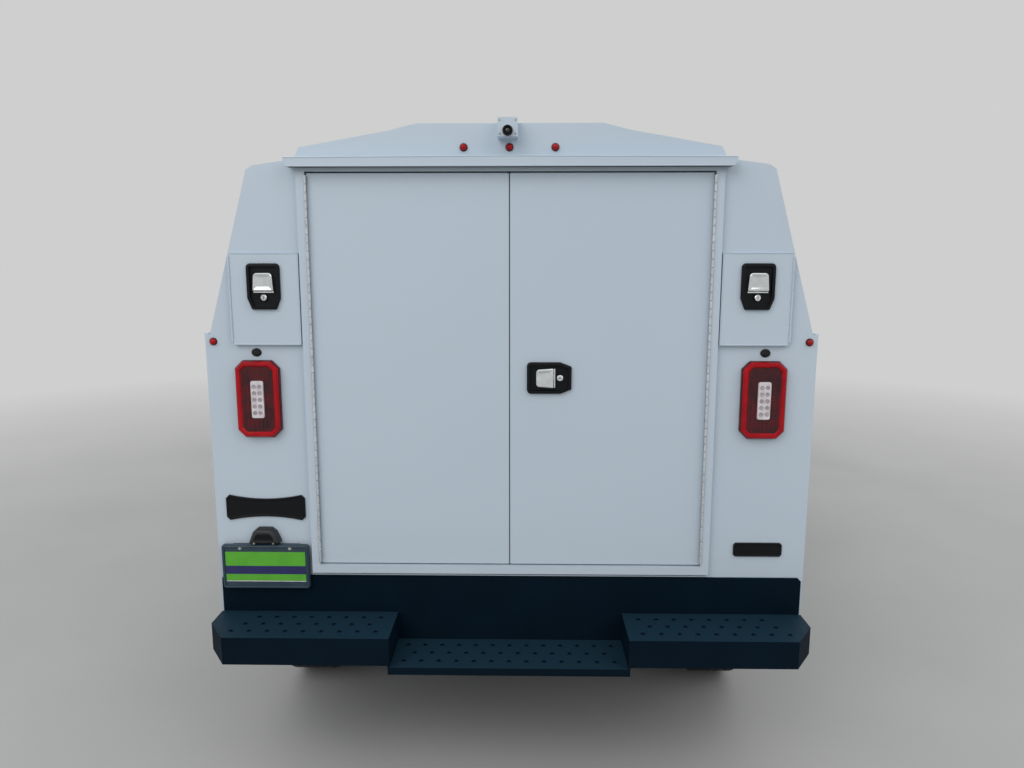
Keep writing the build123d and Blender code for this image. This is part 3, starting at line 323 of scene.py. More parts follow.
DEEP_RED = (Finish("red_lens_unlit_optics", (84, 0, 14), 0.30, ((44, 2, 10), 30.0), (0.05, 30.0),
                   Coat_Weight=0.35, Coat_Roughness=0.08, Specular_IOR_Level=0.25)
            .cells(170.0, 0.5).material)
WHITE_LENS = (Finish("white_lamp_optics", (226, 220, 222), 0.20, ((198, 190, 194), 40.0), (0.05, 40.0),
                     Coat_Weight=0.6, Coat_Roughness=0.05)
              .cells(150.0, 0.4).material)
LENS_DARK = (Finish("dark_camera_lens", (10, 11, 14), 0.08, ((16, 14, 22), 60.0), (0.02, 60.0),
                    Coat_Weight=0.8, Coat_Roughness=0.04).material)
DIODE = (Finish("lamp_diodes", (150, 138, 144), 0.22, ((176, 166, 170), 60.0), (0.05, 60.0),
                Coat_Weight=0.6, Coat_Roughness=0.05)
         .cells(300.0, 0.2).material)
AMBER = (Finish("amber_lens", (226, 116, 14), 0.16, ((196, 92, 10), 24.0), (0.04, 30.0),
                Coat_Weight=1.0, Coat_Roughness=0.05)
         .waves(190.0, 0.12, "Z").material)
PLATE_GREEN = (Finish("plate_green", (86, 176, 34), 0.34, ((78, 164, 30), 18.0), (0.05, 30.0),
                      Coat_Weight=0.4)
               .grain(500.0, 0.03).material)
PLATE_NAVY = (Finish("plate_navy", (8, 14, 92), 0.34, ((6, 11, 78), 18.0), (0.05, 30.0), Coat_Weight=0.4)
              .grain(500.0, 0.03).material)
PLATE_FRAME = (Finish("plate_frame_slate", (40, 62, 76), 0.42, ((34, 54, 68), 18.0), (0.06, 40.0))
               .cells(900.0, 0.06).material)


# ---- shapes -----------------------------------------------------------------
class Outline:
    """A closed outline whose corners are rounded to their radii, and its parallels."""

    def __init__(self, points, radii=0.0, steps=4):
        self.points = [Vector(p) for p in points]
        self.radii = [radii] * len(points) if isinstance(radii, (int, float)) else radii
        self.steps = steps
        area = sum(a.x * b.y - b.x * a.y for a, b in zip(self.points, self.points[1:] + self.points[:1]))
        self.hand = 1 if area > 0 else -1

    def corner(self, i, amount):
        """Corner i moved inwards with both of its edges."""
        here = self.points[i]
        into = (here - self.points[i - 1]).normalized()
        out = (self.points[(i + 1) % len(self.points)] - here).normalized()
        first = Vector((-into.y, into.x)) * self.hand
        second = Vector((-out.y, out.x)) * self.hand
        return here + (first + second) * (amount / max(1 + first.dot(second), 0.2)), into, out

    def loop(self, amount=0.0):
        """The outline moved inwards by amount (outwards if negative), always with as many points."""
        made = []
        for i, radius in enumerate(self.radii):
            here, into, out = self.corner(i, amount)
            turn = into.angle(out)
            cross = into.x * out.y - into.y * out.x
            convex = cross * self.hand > 0
            radius = max(radius - amount if convex else radius + amount, 0.15)
            reach = min(radius * math.tan(turn / 2), 0.49 * (self.points[i] - self.points[i - 1]).length)
            radius = reach / max(math.tan(turn / 2), 1e-6)
            bend = 1 if cross > 0 else -1
            centre = here - into * reach + Vector((-into.y, into.x)) * bend * radius
            first = here - into * reach - centre
            for step in range(self.steps + 1):
                angle = bend * turn * step / self.steps
                cos, sin = math.cos(angle), math.sin(angle)
                made.append(centre + Vector((first.x * cos - first.y * sin, first.x * sin + first.y * cos)))
        return made


def symmetric(half, radii, steps=4):
    """An outline alike on both sides of local y, from the points and radii of its right half, going up."""
    points = [(-half[0][0], half[0][1]), *half, *((-x, y) for x, y in half[:0:-1])]
    if not isinstance(radii, (int, float)):
        radii = [radii[0], *radii, *radii[:0:-1]]
    return Outline(points, radii, steps)


class Oval(Outline):
    """An ellipse and its parallels."""

    def __init__(self, half_width, half_height, count=28, centre=(0, 0)):
        self.half, self.count, self.centre = (half_width, half_height), count, Vector(centre)

    def loop(self, amount=0.0):
        return [self.centre + Vector(((self.half[0] - amount) * math.cos(t),
                                      (self.half[1] - amount) * math.sin(t))) for t in turns(self.count)]


def turns(count):
    """Angles of count even steps round a circle."""
    return [2 * math.pi * k / count for k in range(count)]


def circle(radius, count):
    return [(radius * math.cos(t), radius * math.sin(t)) for t in turns(count)]


def rectangle(low, high, radius, steps=4):
    return Outline([(low[0], low[1]), (high[0], low[1]), (high[0], high[1]), (low[0], high[1])],
                   radius, steps)


def oblong(half_width, half_height, radius):
    """A rectangle about the origin."""
    return rectangle((-half_width, -half_height), (half_width, half_height), radius)


def facing(origin, right, out):
    """Frame of a panel: local x runs right, local z stands out of it, local y is across both."""
    right, out = Vector(right).normalized(), Vector(out).normalized()
    up = out.cross(right)
    place = Matrix((right, up, out)).transposed().to_4x4()
    place.translation = Vector(origin)
    return place


HAIRLINE = 0.15


class Shape:
    """Faces in millimetres, each with its material, that become one piece."""

    def __init__(self):
        self.points, self.faces, self.paints, self.palette = [], [], [], []
        self.place = Matrix()

    def at(self, place):
        self.place = place
        return self

    def add(self, points, faces, paint):
        if paint not in self.palette:
            self.palette.append(paint)
        first = len(self.points)
        self.points += [self.place @ Vector(p) for p in points]
        self.faces += [[first + i for i in face] for face in faces]
        self.paints += [self.palette.index(paint)] * len(faces)
        return self

    def loft(self, rings, paint, ends=True, closed=False):
        """Skin over rings of equal length; ends caps the first and last ring, closed joins them."""
        count = len(rings[0])
        points = [p for ring in rings for p in ring]
        faces = []
        for r in range(len(rings) if closed else len(rings) - 1):
            low, high = r * count, (r + 1) % len(rings) * count
            for i in range(count):
                j = (i + 1) % count
                faces.append([low + i, low + j, high + j, high + i])
        if ends and not closed:
            faces.append(list(range(count))[::-1])
            faces.append([(len(rings) - 1) * count + i for i in range(count)])
        return self.add(points, faces, paint)

    def layers(self, outline, steps, paint, **how):
        """Loft of one outline at (height, inset) steps; a hairline ring keeps each flat end flat."""
        if not how.get("closed"):
            steps = [(steps[0][0], steps[0][1] + HAIRLINE), *steps, (steps[-1][0], steps[-1][1] + HAIRLINE)]
        rings = [[(p.x, p.y, z) for p in outline.loop(amount)] for z, amount in steps]
        return self.loft(rings, paint, **how)

    def plate(self, outline, low, high, paint, bevel, under=0.0):
        """A flat piece of an outline's shape from height low to high, its edges chamfered."""
        steps = [(low, under)] if not under else [(low, under), (low + under, 0)]
        return self.layers(outline, steps + [(high - bevel, 0), (high, bevel)], paint)

    def bar(self, low, high, paint, bevel, radius=None):
        """A block between any two opposite corners with all its edges broken."""
        low, high = ([pick(pair) for pair in zip(low, high)] for pick in (min, max))
        outline = rectangle(low, high, bevel if radius is None else radius, 1 if radius is None else 4)
        return self.plate(outline, low[2], high[2], paint, bevel, bevel)

    def turned(self, profile, paint, start, axis=UP, sides=24):
        """A turned shape: (distance along the axis, radius) points; radius 0 closes an end."""
        turn = Vector(UP).rotation_difference(Vector(axis)).to_matrix()
        origin = Vector(start)
        points, rows = [], []
        for along, radius in profile:
            if radius <= 0:
                rows.append([len(points)])
                points.append(origin + turn @ Vector((0, 0, along)))
                continue
            rows.append(list(range(len(points), len(points) + sides)))
            points += [origin + turn @ Vector((*p, along)) for p in circle(radius, sides)]
        faces = []
        for low, high in zip(rows, rows[1:]):
            for k in range(sides):
                j = (k + 1) % sides
                if len(low) == 1:
                    faces.append([low[0], high[j], high[k]])
                elif len(high) == 1:
                    faces.append([low[k], low[j], high[0]])
                else:
                    faces.append([low[k], low[j], high[j], high[k]])
        for row, flip in ((rows[0], True), (rows[-1], False)):
            if len(row) > 1:
                faces.append(row[::-1] if flip else row)
        return self.add(points, faces, paint)

    def tube(self, path, radius, paint, sides=12, closed=False, section=None):
        """A round bar, or a bar of any small section, along a path."""
        path = [Vector(p) for p in path]
        section = [Vector(p) for p in section or circle(radius, sides)]
        rings, across = [], None
        for i, here in enumerate(path):
            before = path[i - 1] if i or closed else here
            after = path[(i + 1) % len(path)] if i < len(path) - 1 or closed else here
            along = (after - before).normalized()
            if across is None:
                helper = Vector(UP) if abs(along.z) < 0.9 else Vector(AHEAD)
                across = along.cross(helper).normalized()
            across = (across - along * across.dot(along)).normalized()
            up = across.cross(along)
            rings.append([here + across * s.x + up * s.y for s in section])
        return self.loft(rings, paint, ends=not closed, closed=closed)

    def ribbon(self, places, section, paint):
        """A strip over (point, normal) places; its section's points are (up, out of the surface)."""
        return self.loft([[place + Vector((0, 0, up)) + normal * out for up, out in section]
                          for place, normal in places], paint)

    def make(self, name, body, slot, sharp=34.0, stands_for=()):
        """Turn the faces into one object in metres that rides on a body."""
        mesh = bpy.data.meshes.new(name)
        mesh.from_pydata([p * MM for p in self.points], [], self.faces)
        work = bmesh.new()
        work.from_mesh(mesh)
        bmesh.ops.recalc_face_normals(work, faces=work.faces)
        work.to_mesh(mesh)
        work.free()
        for paint in self.palette:
            mesh.materials.append(paint)
        mesh.polygons.foreach_set("material_index", self.paints)
        mesh.shade_smooth()
        mesh.set_sharp_from_angle(angle=math.radians(sharp))
        piece = bpy.data.objects.new(name, mesh)
        bpy.context.scene.collection.objects.link(piece)
        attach(piece, body)
        if stands_for:
            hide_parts(*stands_for)
        return piece


# ---- finishes of the CAD nodes that stay ------------------------------------
SLOT_FINISH = {
    "body_paint": BODY, "cab_paint": CAB, "bumper_paint": BAND, "chassis": CHASSIS, "cast": CAST,
    "exhaust_steel": EXHAUST, "wheel_steel": WHEEL, "tyre": RUBBER, "glass": GLASS, "lamp_lens": CLEAR,
    "lamp_red": RED, "black_plastic": PLASTIC, "grey_plastic": GREY, "latch_black": LATCH,
    "cab_trim": TRIM, "seat_cloth": TRIM, "floor_plate": FLOOR_PLATE, "plate_blank": PLATE_GREEN,
}
for part in frame["record"]["subparts"]:
    for name in ([part["node"]] if isinstance(part["node"], str) else part["node"]):
        for place in NODES[name].material_slots:
            place.material = SLOT_FINISH[part["material_slot"]]


# ---- rear hardware ----------------------------------------------------------
def latch(shape, place, width, height):
    """Paddle latch: black dished frame, bright paddle above, lock below, lower corners tapered."""
    shape.at(place)
    w, h = width / 2, height / 2
    body = symmetric([(w - 15, -h), (w, -h + 38), (w, h)], [5, 14, 14])
    shape.layers(body, [(0, 0), (8, 0), (11.0, 1.6), (12, 4), (11.5, 11), (4, 13), (3, 14.5)], LATCH)
    low, high = -0.11 * height, 0.305 * height
    foot, head = 0.33 * width, 0.29 * width
    paddle = symmetric([(foot, low), (head, high)], [6, 13])
    shape.layers(paddle, [(3, 0), (11, 0), (15.5, 1.8), (17.5, 4.5), (17.4, 9), (14.6, 13), (14, 17)],
                 CHROME)
    shape.plate(rectangle((-foot + 2, low - 5), (foot - 2, low + 3), 2.0), 3, 9, CHROME, 1.5)
    lock_y = -0.24 * height
    shape.turned([(0, 13.5), (5, 13.5), (6.5, 12), (6.5, 9)], LATCH, (0, lock_y, 2))
    shape.turned([(0, 10.5), (8, 10.5), (9.2, 9), (9.2, 0)], CHROME, (0, lock_y, 2))
    shape.plate(rectangle((-0.9, lock_y - 5.5), (0.9, lock_y + 5.5), 0.5, 2), 10.5, 11.6, SEAL, 0.3)
    return shape


REAR_FACING = (RIGHT, BACK)
latch_low, latch_high = span("rear_latch")
middle = (latch_low + latch_high) / 2
door_latch = Shape()
# turned a quarter, so that the paddle is on the left and the lock on the right
latch(door_latch, facing((middle.x, latch_high.y, middle.z), UP, BACK), 108, 152)
door_latch.make("door_paddle_latch", "rear_door_right", "latch_black", stands_for=["rear_latch"])
for side, s in SIDES:
    low, high = span(f"hatch_latch_{side}")
    middle = (low + high) / 2
    hatch = latch(Shape(), facing((middle.x, high.y, middle.z), *REAR_FACING), 112, 154)
    hatch.make(f"hatch_paddle_latch_{side}", f"rear_hatch_{side}", "latch_black",
               stands_for=[f"hatch_latch_{side}"])


def piano_hinge(name, start, end, body, radius, fixed, swung, reach, pitch=60.0, barrel=BODY):
    """Continuous hinge from start to end: knuckles in turn on the van and on the door, with two leaves.

    fixed and swung are the directions in which the van's leaf and the door's leaf lie."""
    start, end = Vector(start), Vector(end)
    along = (end - start).normalized()
    count = max(2, round((end - start).length / pitch))
    step = (end - start).length / count
    halves = (Shape(), Shape())
    for k in range(count):
        low = start + along * (k * step + 0.7)
        profile = [(0, radius * 0.5), (1.6, radius), (step - 3.4, radius), (step - 1.4, radius * 0.5)]
        halves[k % 2].turned(profile, barrel, low, along, 14)
    for half, direction, width, base in zip(halves, (fixed[0], swung[0]), reach, (fixed[1], swung[1])):
        out = Vector(base)
        place = facing(start, along, out)
        half.at(place)
        toward = place.to_3x3().inverted() @ Vector(direction)
        edges = sorted((0.0, math.copysign(width, toward.y)))
        half.bar((0.5, edges[0], -radius), ((end - start).length - 0.5, edges[1], -radius + 1.4), BODY, 0.4)
    halves[0].make(f"{name}_fixed_leaf", "root", "body_paint")
    halves[1].make(f"{name}_swung_leaf", body, "body_paint")


def door_hinge(name, door, joint, side, fixed, swung, radius, reach, inset, **look):
    """Continuous hinge on a door's own joint, as long as the door but for an inset at each end."""
    low, high = span(f"{door}_{side}")
    start = joint_place(f"{joint}_{side}_hinge")
    end = start.copy()
    lengthwise = 1 if fixed[0][2] else 2
    start[lengthwise], end[lengthwise] = low[lengthwise] + inset, high[lengthwise] - inset
    piano_hinge(f"{name}_{side}", start, end, f"{door}_{side}", radius, fixed, swung, reach, **look)


for side, s in SIDES:
    door_hinge("rear_door_hinge", "rear_door", "rear_door", side, ((s, 0, 0), BACK), ((-s, 0, 0), BACK),
               4.6, (20.0, 3.8), 6, pitch=27.0, barrel=CHROME)
for side, s in SIDES:
    door_hinge("hatch_hinge", "rear_hatch", "rear_hatch", side, ((s, 0, 0), BACK), ((-s, 0, 0), BACK),
               2.8, (5.0, 3.5), 8)

# folded meeting edges of the rear doors, and the seal behind them on the left one
for side, s in SIDES:
    edge = Shape()
    edge.bar((s * 1.6, DOOR_LOW.y + 0.4, DOOR_LOW.z + 1), (s * 4.6, DOOR_LOW.y + 2.6, DOOR_HIGH.z - 1),
             BODY, 0.4)
    edge.make(f"rear_door_meeting_edge_{side}", f"rear_door_{side}", "body_paint")
seal = Shape()
seal.bar((-4.4, DOOR_LOW.y + 3, DOOR_LOW.z + 4), (2.6, DOOR_LOW.y + 17, DOOR_HIGH.z - 4), SEAL, 1.0)
seal.make("centre_door_seal", "rear_door_left", "black_plastic")


LAMP_HALF_WIDTH, LAMP_HALF_HEIGHT, LAMP_CORNER = 76.5, 134.5, 27.0
GRID_PITCH = 14.5


def tail_lamp(place):
    """Lamp with cut corners, a thick red ring, sunk dark optics and a white centre with ten diodes."""
    shape = Shape().at(place)
    w, h, c = LAMP_HALF_WIDTH, LAMP_HALF_HEIGHT, LAMP_CORNER
    outline = symmetric([(w - c, -h), (w, -h + c), (w, h - c), (w - c, h)], 4.0, 2)
    shape.layers(outline, [(0, 0), (12, 0), (15, 2)], DEEP_RED)
    shape.layers(outline, [(10, 3), (20, 3.5), (24.5, 6.5), (25.5, 12), (24.5, 18), (20, 21.5), (10, 22)],
                 RED, closed=True)
    shape.layers(outline, [(12, 21), (19.5, 21), (20, 21.5)], DEEP_RED)
    # moulded grid of the unlit optics
    for k in range(-3, 4):
        x = k * GRID_PITCH
        shape.bar((x - 0.7, -h + 24, 19.5), (x + 0.7, h - 24, 21.0), DEEP_RED, 0.3)
    for k in range(-7, 8):
        y = k * GRID_PITCH
        reach = w - 23 - max(0.0, abs(y) - (h - 24 - c)) * 0.8
        shape.bar((-reach, y - 0.7, 19.4), (reach, y + 0.7, 20.8), DEEP_RED, 0.3)
    white = oblong(22, 65, 7)
    shape.layers(white, [(15, 0), (23, 0), (25, 1.2), (25.6, 3.5)], WHITE_LENS)
    for row in range(-2, 3):
        for column in (-1, 1):
            shape.turned([(0, 7.5), (1.2, 7.5), (1.6, 6.4), (0.6, 4.0), (1.6, 0)], DIODE,
                         (column * 9.5, row * 23.0, 25.0), sides=16)
    return shape


low, high = span("tail_lights")
lamp_z = (low.z + high.z) / 2
lamp_x = high.x - LAMP_HALF_WIDTH
for side, s in SIDES:
    lamp = tail_lamp(facing((s * lamp_x, REAR_Y, lamp_z), *REAR_FACING))
    lamp.make(f"tail_lamp_{side}", "root", "lamp_red", stands_for=["tail_lights"])

MARKER_SPACING, MARKER_RADIUS = 150, 13.5
low, high = span("marker_lights")
top, bottom = high.z - 12.7, low.z + MARKER_RADIUS
markers = Shape()
for x, z in ((-MARKER_SPACING, top), (0, top), (MARKER_SPACING, top),
             (low.x + MARKER_RADIUS, bottom), (high.x - MARKER_RADIUS, bottom)):
    behind = "roof_cap" if abs(x) < 500 else "side_pack_right" if x > 0 else "side_pack_left"
    spot, _ = touch(behind, (x, REAR_Y - 80, z), AHEAD)
    markers.turned([(0, 13.2), (2.6, 13.2), (3.4, 12.2), (3.4, 10.5)], SEAL, spot, BACK, 24)
    markers.turned([(1, 10.8), (5, 10.8), (9, 9.4), (12, 6.2), (13.4, 2.6), (13.8, 0)], RED, spot, BACK, 24)
markers.make("marker_domes", "root", "lamp_red", stands_for=["marker_lights"])

# grommets above the tail lamps
GROMMET_X, GROMMET_Z = 867, 1513
grommets = Shape()
for s in (-1, 1):
    grommets.at(facing((s * GROMMET_X, REAR_Y, GROMMET_Z), *REAR_FACING))
    grommets.layers(Oval(17, 14), [(0, 0), (3, 0), (5.5, 2), (7, 5), (7.5, 9)], SEAL)
grommets.make("harness_grommets", "root", "black_plastic")

# licence plate place: slate frame, blank green plate with a navy band, lamp above
PLATE_HALF_WIDTH, PLATE_LAMP_HEIGHT = 155.5, 60
low, high = span("licence_plate")
plate_x, frame_low, frame_high = (low.x + high.x) / 2, low.z, high.z - PLATE_LAMP_HEIGHT
plate = Shape().at(facing((plate_x, REAR_Y, (frame_low + frame_high) / 2), *REAR_FACING))
w, h = PLATE_HALF_WIDTH, (frame_high - frame_low) / 2
border = oblong(w, h, 11)
plate.layers(border, [(12, 0), (22, 0), (24, 1.5), (24.5, 4)], PLATE_FRAME)
top, low_edge = h - 26, -h + 27
navy_high, navy_low = top - 0.47 * (top - low_edge), top - 0.75 * (top - low_edge)
for lower, upper, corner, face, paint in (
        (navy_high, top, 1.5, 25.4, PLATE_GREEN), (navy_low, navy_high, 0.6, 25.5, PLATE_NAVY),
        (low_edge + 3, navy_low, 0.6, 25.4, PLATE_GREEN), (low_edge, low_edge + 2.4, 0.4, 25.6, WHITE_LENS)):
    plate.plate(rectangle((-w + 13, lower), (w - 13, upper), corner, 1), 23, face, paint, 0.4)
plate.layers(border, [(24, 3), (27, 3.5), (28, 5.5), (27, 10), (24, 11)], PLATE_FRAME, closed=True)
for x in (-89, 89):
    plate.turned([(24, 6.6), (26.5, 6.2), (28, 4.4), (28.4, 0)], ZINC, (x, h - 13, 0), sides=16)
plate.bar((-120, -h + 50, 0), (120, h - 2, 13), SEAL, 2.0)
lamp_hood = symmetric([(58, h + 4), (41, h + 46), (24, h + PLATE_LAMP_HEIGHT)], [6, 9, 6])
plate.layers(lamp_hood, [(0, 0), (20, 0), (30, 3), (35, 8), (36, 11)], PLASTIC)
plate.layers(lamp_hood, [(33, 15), (38, 15.5), (39, 17), (37.5, 19)], LATCH)
for x in (-34, 34):
    plate.turned([(20, 4), (34.5, 4), (36, 3), (36, 0)], ZINC, (x, h + 9, 0), sides=12)
plate.make("licence_plate_holder", "root", "plate_blank", stands_for=["licence_plate"])

# blank name plaques: the waisted one on the left, a plain one on the right
LEFT_PLAQUE, RIGHT_PLAQUE = (-863, REAR_Y, 961), (875, REAR_Y, 815)
plaques = Shape().at(facing(LEFT_PLAQUE, *REAR_FACING))
waist = [(x, 32 + 14 * (x / 128) ** 2) for x in range(-128, 129, 32)]
upper = [(140, 34), *reversed(waist), (-140, 34)]
border = Outline([(x, -y) for x, y in reversed(upper)] + upper)
plaques.layers(border, [(0, 0), (5, 0), (6.5, 1.5), (6.5, 6), (4.6, 8)], LATCH)
plaques.at(facing(RIGHT_PLAQUE, *REAR_FACING))
border = symmetric([(78, -25), (85, -18), (85, 18), (78, 25)], 3.0, 2)
plaques.layers(border, [(0, 0), (5, 0), (6.5, 1.5), (6.5, 5), (4.8, 6.6)], LATCH)
plaques.make("blank_plaques", "root", "latch_black")

# reversing camera: lens barrel, glass and bracket screws
EYE_X, EYE_ABOVE_EDGE, BRACKET_OUT = -5, 17.5, 58
low, high = span("backup_camera")
eye = Shape()
centre = Vector((EYE_X, low.y, low.z + EYE_ABOVE_EDGE))
eye.turned([(-5, 16.5), (4, 16.5), (6, 15.5), (6, 11.5), (1.5, 9.5), (1.5, 0)], LATCH, centre, BACK, 28)
eye.turned([(1.0, 8.5), (2.6, 7.6), (4.2, 4.5), (4.6, 0)], LENS_DARK, centre, BACK, 24)
for x in (low.x + 7, high.x - 7):
    for z in (low.z + 8, high.z - 8):
        spot = (x, REAR_Y - BRACKET_OUT, z)
        eye.turned([(-1, 3.4), (1.0, 3.2), (1.8, 2.0), (1.9, 0)], ZINC, spot, BACK, 12)
eye.make("camera_eye", "root", "black_plastic")

# raised grip dimples on the bumper ends and the middle step
BUMPER_TOP, STEP_TOP = span("rear_bumper")[1].z, 470.0
grip = Shape()


def dimple(x, y, z):
    grip.turned([(-0.5, 10.0), (0.6, 9.4), (1.6, 8.0), (1.6, 6.8), (0.3, 6.4)], BAND, (x, y, z), sides=14)
    # flat dark disc in the middle: painted shade where the hole is
    grip.turned([(0.1, 6.4), (0.4, 6.2), (0.4, 0)], HOLE_SHADE, (x, y, z), sides=12)


for s in (-1, 1):
    for row in range(3):
        for k in range(9):
            x = 455 + 62 * k + 31 * (row % 2)
            if x < 985 - 24 * (2 - row):
                dimple(s * x, REAR_Y - 52 - row * 52, BUMPER_TOP)
for row in range(3):
    for k in range(-6, 7):
        x = 60 * k + 30 * (row % 2)
        if abs(x) < 380:
            dimple(x, REAR_Y - 50 - row * 54, STEP_TOP)
grip.make("bumper_grip_dimples", "root", "bumper_paint")


# ---- body sides -------------------------------------------------------------
def side_frame(s, x, y, z, out=RIGHT):
    """Frame of a panel on side s: out of the van is +z, up is +y, and +x is forward times s."""
    return facing((s * x, y, z), (0, s, 0), (s * out[0], out[1], out[2]))


def side_rectangle(low, high, radius, grow):
    """Outline of a side view box about its own centre, grown on every side."""
    half = Vector(((high.y - low.y) / 2 + grow, (high.z - low.z) / 2 + grow))
    return rectangle(-half, half, radius + grow)


SHUT_LINE = 6.0
LOCKER_DOORS = ("front_locker_door", "middle_locker_door", "over_wheel_door")
LOCKER_LATCHES = {"front_locker_door": ((0.14, 0.50),), "middle_locker_door": ((0.13, 0.50),),
                  "over_wheel_door": ((0.22, 0.84), (0.78, 0.84))}
FOLD, LEAF = 16.0, 26.0
for side, s in SIDES:
    for door in LOCKER_DOORS:
        low, high = span(f"{door}_{side}")
        centre = (low + high) / 2
        outer_x = max(abs(low.x), abs(high.x))
        opening = side_rectangle(low, high, 8.0, SHUT_LINE)
        place = side_frame(s, outer_x, centre.y, centre.z)
        jamb = Shape().at(place)
        jamb.layers(opening, [(-FOLD, 0.0), (-LEAF - 13, 0.6), (-LEAF - 13, 17), (-LEAF - 15, 17),
                              (-LEAF - 15, -10), (-FOLD, -10)], BODY, closed=True)
        jamb.layers(opening, [(-LEAF - 13, 3), (-LEAF - 4, 3.4), (-LEAF - 1.2, 6), (-LEAF - 1.4, 10),
                              (-LEAF - 5, 13), (-LEAF - 13, 13.5)], SEAL, closed=True)
        jamb.make(f"{door}_jamb_{side}", "root", "body_paint")
        hardware = Shape()
        for along, up in LOCKER_LATCHES[door]:
            latch(hardware, side_frame(s, outer_x, low.y + along * (high.y - low.y),
                                       low.z + up * (high.z - low.z)), 108, 150)
        # folded edge of the door leaf, and its stiffening pan inside
        inner = side_rectangle(low, high, 46.0, -34.0)
        hardware.at(facing((s * (outer_x - LEAF), centre.y, centre.z), (0, -s, 0), (-s, 0, 0)))
        hardware.layers(inner, [(0, 0), (4, 0), (6, 3), (6, 22), (2.5, 27)], BODY)
        hardware.make(f"{door}_hardware_{side}", f"{door}_{side}", "latch_black")
    outer = (s, 0, 0)
    for joint, fixed, swung, inset in (("front_locker", AHEAD, BACK, 6), ("middle_locker", AHEAD, BACK, 6),
                                       ("over_wheel", DOWN, UP, 8)):
        door_hinge(f"{joint}_door_hinge", f"{joint}_door", joint, side, (fixed, outer), (swung, outer), 3.2,
                   (11.0, 10.0), inset)


ARCH_STEPS = 44


def arch_strip(shape, centre, s, radius, first, last, section, paint, side_x):
    """Strip round a wheel arch: section is (outwards from the side, outwards from the arch edge)."""
    rings = []
    for degrees in even(first, last, ARCH_STEPS):
        angle = math.radians(degrees)
        edge_y, edge_z = math.cos(angle), math.sin(angle)
        x = side_x(centre.y + (radius + 9) * edge_y, centre.z + (radius + 9) * edge_z)
        rings.append([(s * (x + out), centre.y + (radius + away) * edge_y,
                       centre.z + (radius + away) * edge_z) for out, away in section])
    shape.loft(rings, paint)


REAR_ARCH, FRONT_ARCH = 440.0, 460.0
CAB_LOW = span("cab_shell")[0]
SKIRT = PACK_LOW.z


def rise(radius, height, axle):
    """Angle at which an arch of this radius meets the lower edge of the side."""
    return math.degrees(math.asin((height - axle.z) / radius))


def cab_side(s):
    """Distance of the cab's side from the middle plane as a function of place."""
    def measure(y, z):
        place, _ = touch("cab_shell", (s * 1300, y, max(z, CAB_LOW.z + 2)), (-s, 0, 0))
        return abs(place.x) if place and abs(place.x) > 900 else 985.0
    return measure


for side, s in SIDES:
    arches = Shape()
    start = rise(REAR_ARCH, SKIRT, REAR_AXLE)
    arch_strip(arches, REAR_AXLE, s, REAR_ARCH, start, 180 - start,
               [(-14, -3), (3, -3), (9, 1), (11, 8), (9, 17), (4, 22), (-1, 23), (-1, 2), (-14, 0)],
               RUBBER, lambda y, z: PACK_HIGH.x)
    start = rise(FRONT_ARCH, CAB_LOW.z, FRONT_AXLE)
    arch_strip(arches, FRONT_AXLE, s, FRONT_ARCH, start, 180 - start,
               [(-22, -2.5), (-1, -2.5), (2.5, 0), (3, 7), (1.5, 12), (-2, 14), (-4, 0), (-22, 0)],
               CAB, cab_side(s))
    arches.make(f"arch_trims_{side}", "root", "black_plastic")

PARTITION_POST_Y = -1262.0
# lamps and reflectors along the skirt, with the fuel filler behind the left rear wheel
for side, s in SIDES:
    small = Shape()
    for y, z, paint in ((PACK_HIGH.y - 70, SKIRT + 21, AMBER), (PARTITION_POST_Y, SKIRT + 21, AMBER),
                        (REAR_Y + 96, 668, RED)):
        small.at(side_frame(s, PACK_HIGH.x, y, z))
        small.layers(oblong(36, 13, 11), [(0, 0), (5, 0), (7, 1.4), (7, 3)], SEAL)
        small.layers(oblong(32, 10, 9), [(5, 0), (10, 0.8), (12.5, 3.5), (13, 6)], paint)
    small.make(f"side_markers_{side}", "root", "lamp_red")

FILLER = (REAR_Y + 148, 752)
filler = Shape().at(side_frame(-1, PACK_HIGH.x, *FILLER))
filler.layers(oblong(78, 74, 22), [(0, 0), (3, 0), (4.6, 1.6), (4.6, 5)], PLASTIC)
filler.layers(oblong(67, 63, 17), [(4, 0), (8, 0), (10, 2), (10.4, 9)], BODY)
filler.layers(rectangle((40, -14), (58, 14), 6), [(10, 0), (12, 0.4), (12.6, 3)], LATCH)
filler.tube([(-68, -44, 8), (-68, 44, 8)], 3.6, ZINC, 10)
filler.make("fuel_filler_door", "root", "body_paint")

# ---- roof and seams of the body ---------------------------------------------
ROOF_LOW, ROOF_HIGH = span("roof_cap")


def rivet(shape, spot, out, radius=4.6, paint=BODY):
    shape.turned([(-0.3, radius), (0.9, radius * 0.9), (1.8, radius * 0.55), (2.1, 0)], paint, spot, out, 8)


def rivet_row(shape, start, end, out, pitch):
    """Dome-head rivets in a line, standing out in the direction given."""
    start, end = Vector(start), Vector(end)
    count = max(1, round((end - start).length / pitch))
    for k in range(count + 1):
        rivet(shape, start.lerp(end, k / count), out)


def crown(x):
    """Height of the roof's outside at distance x from the middle."""
    return from_above("roof_cap", x, 0)[0].z


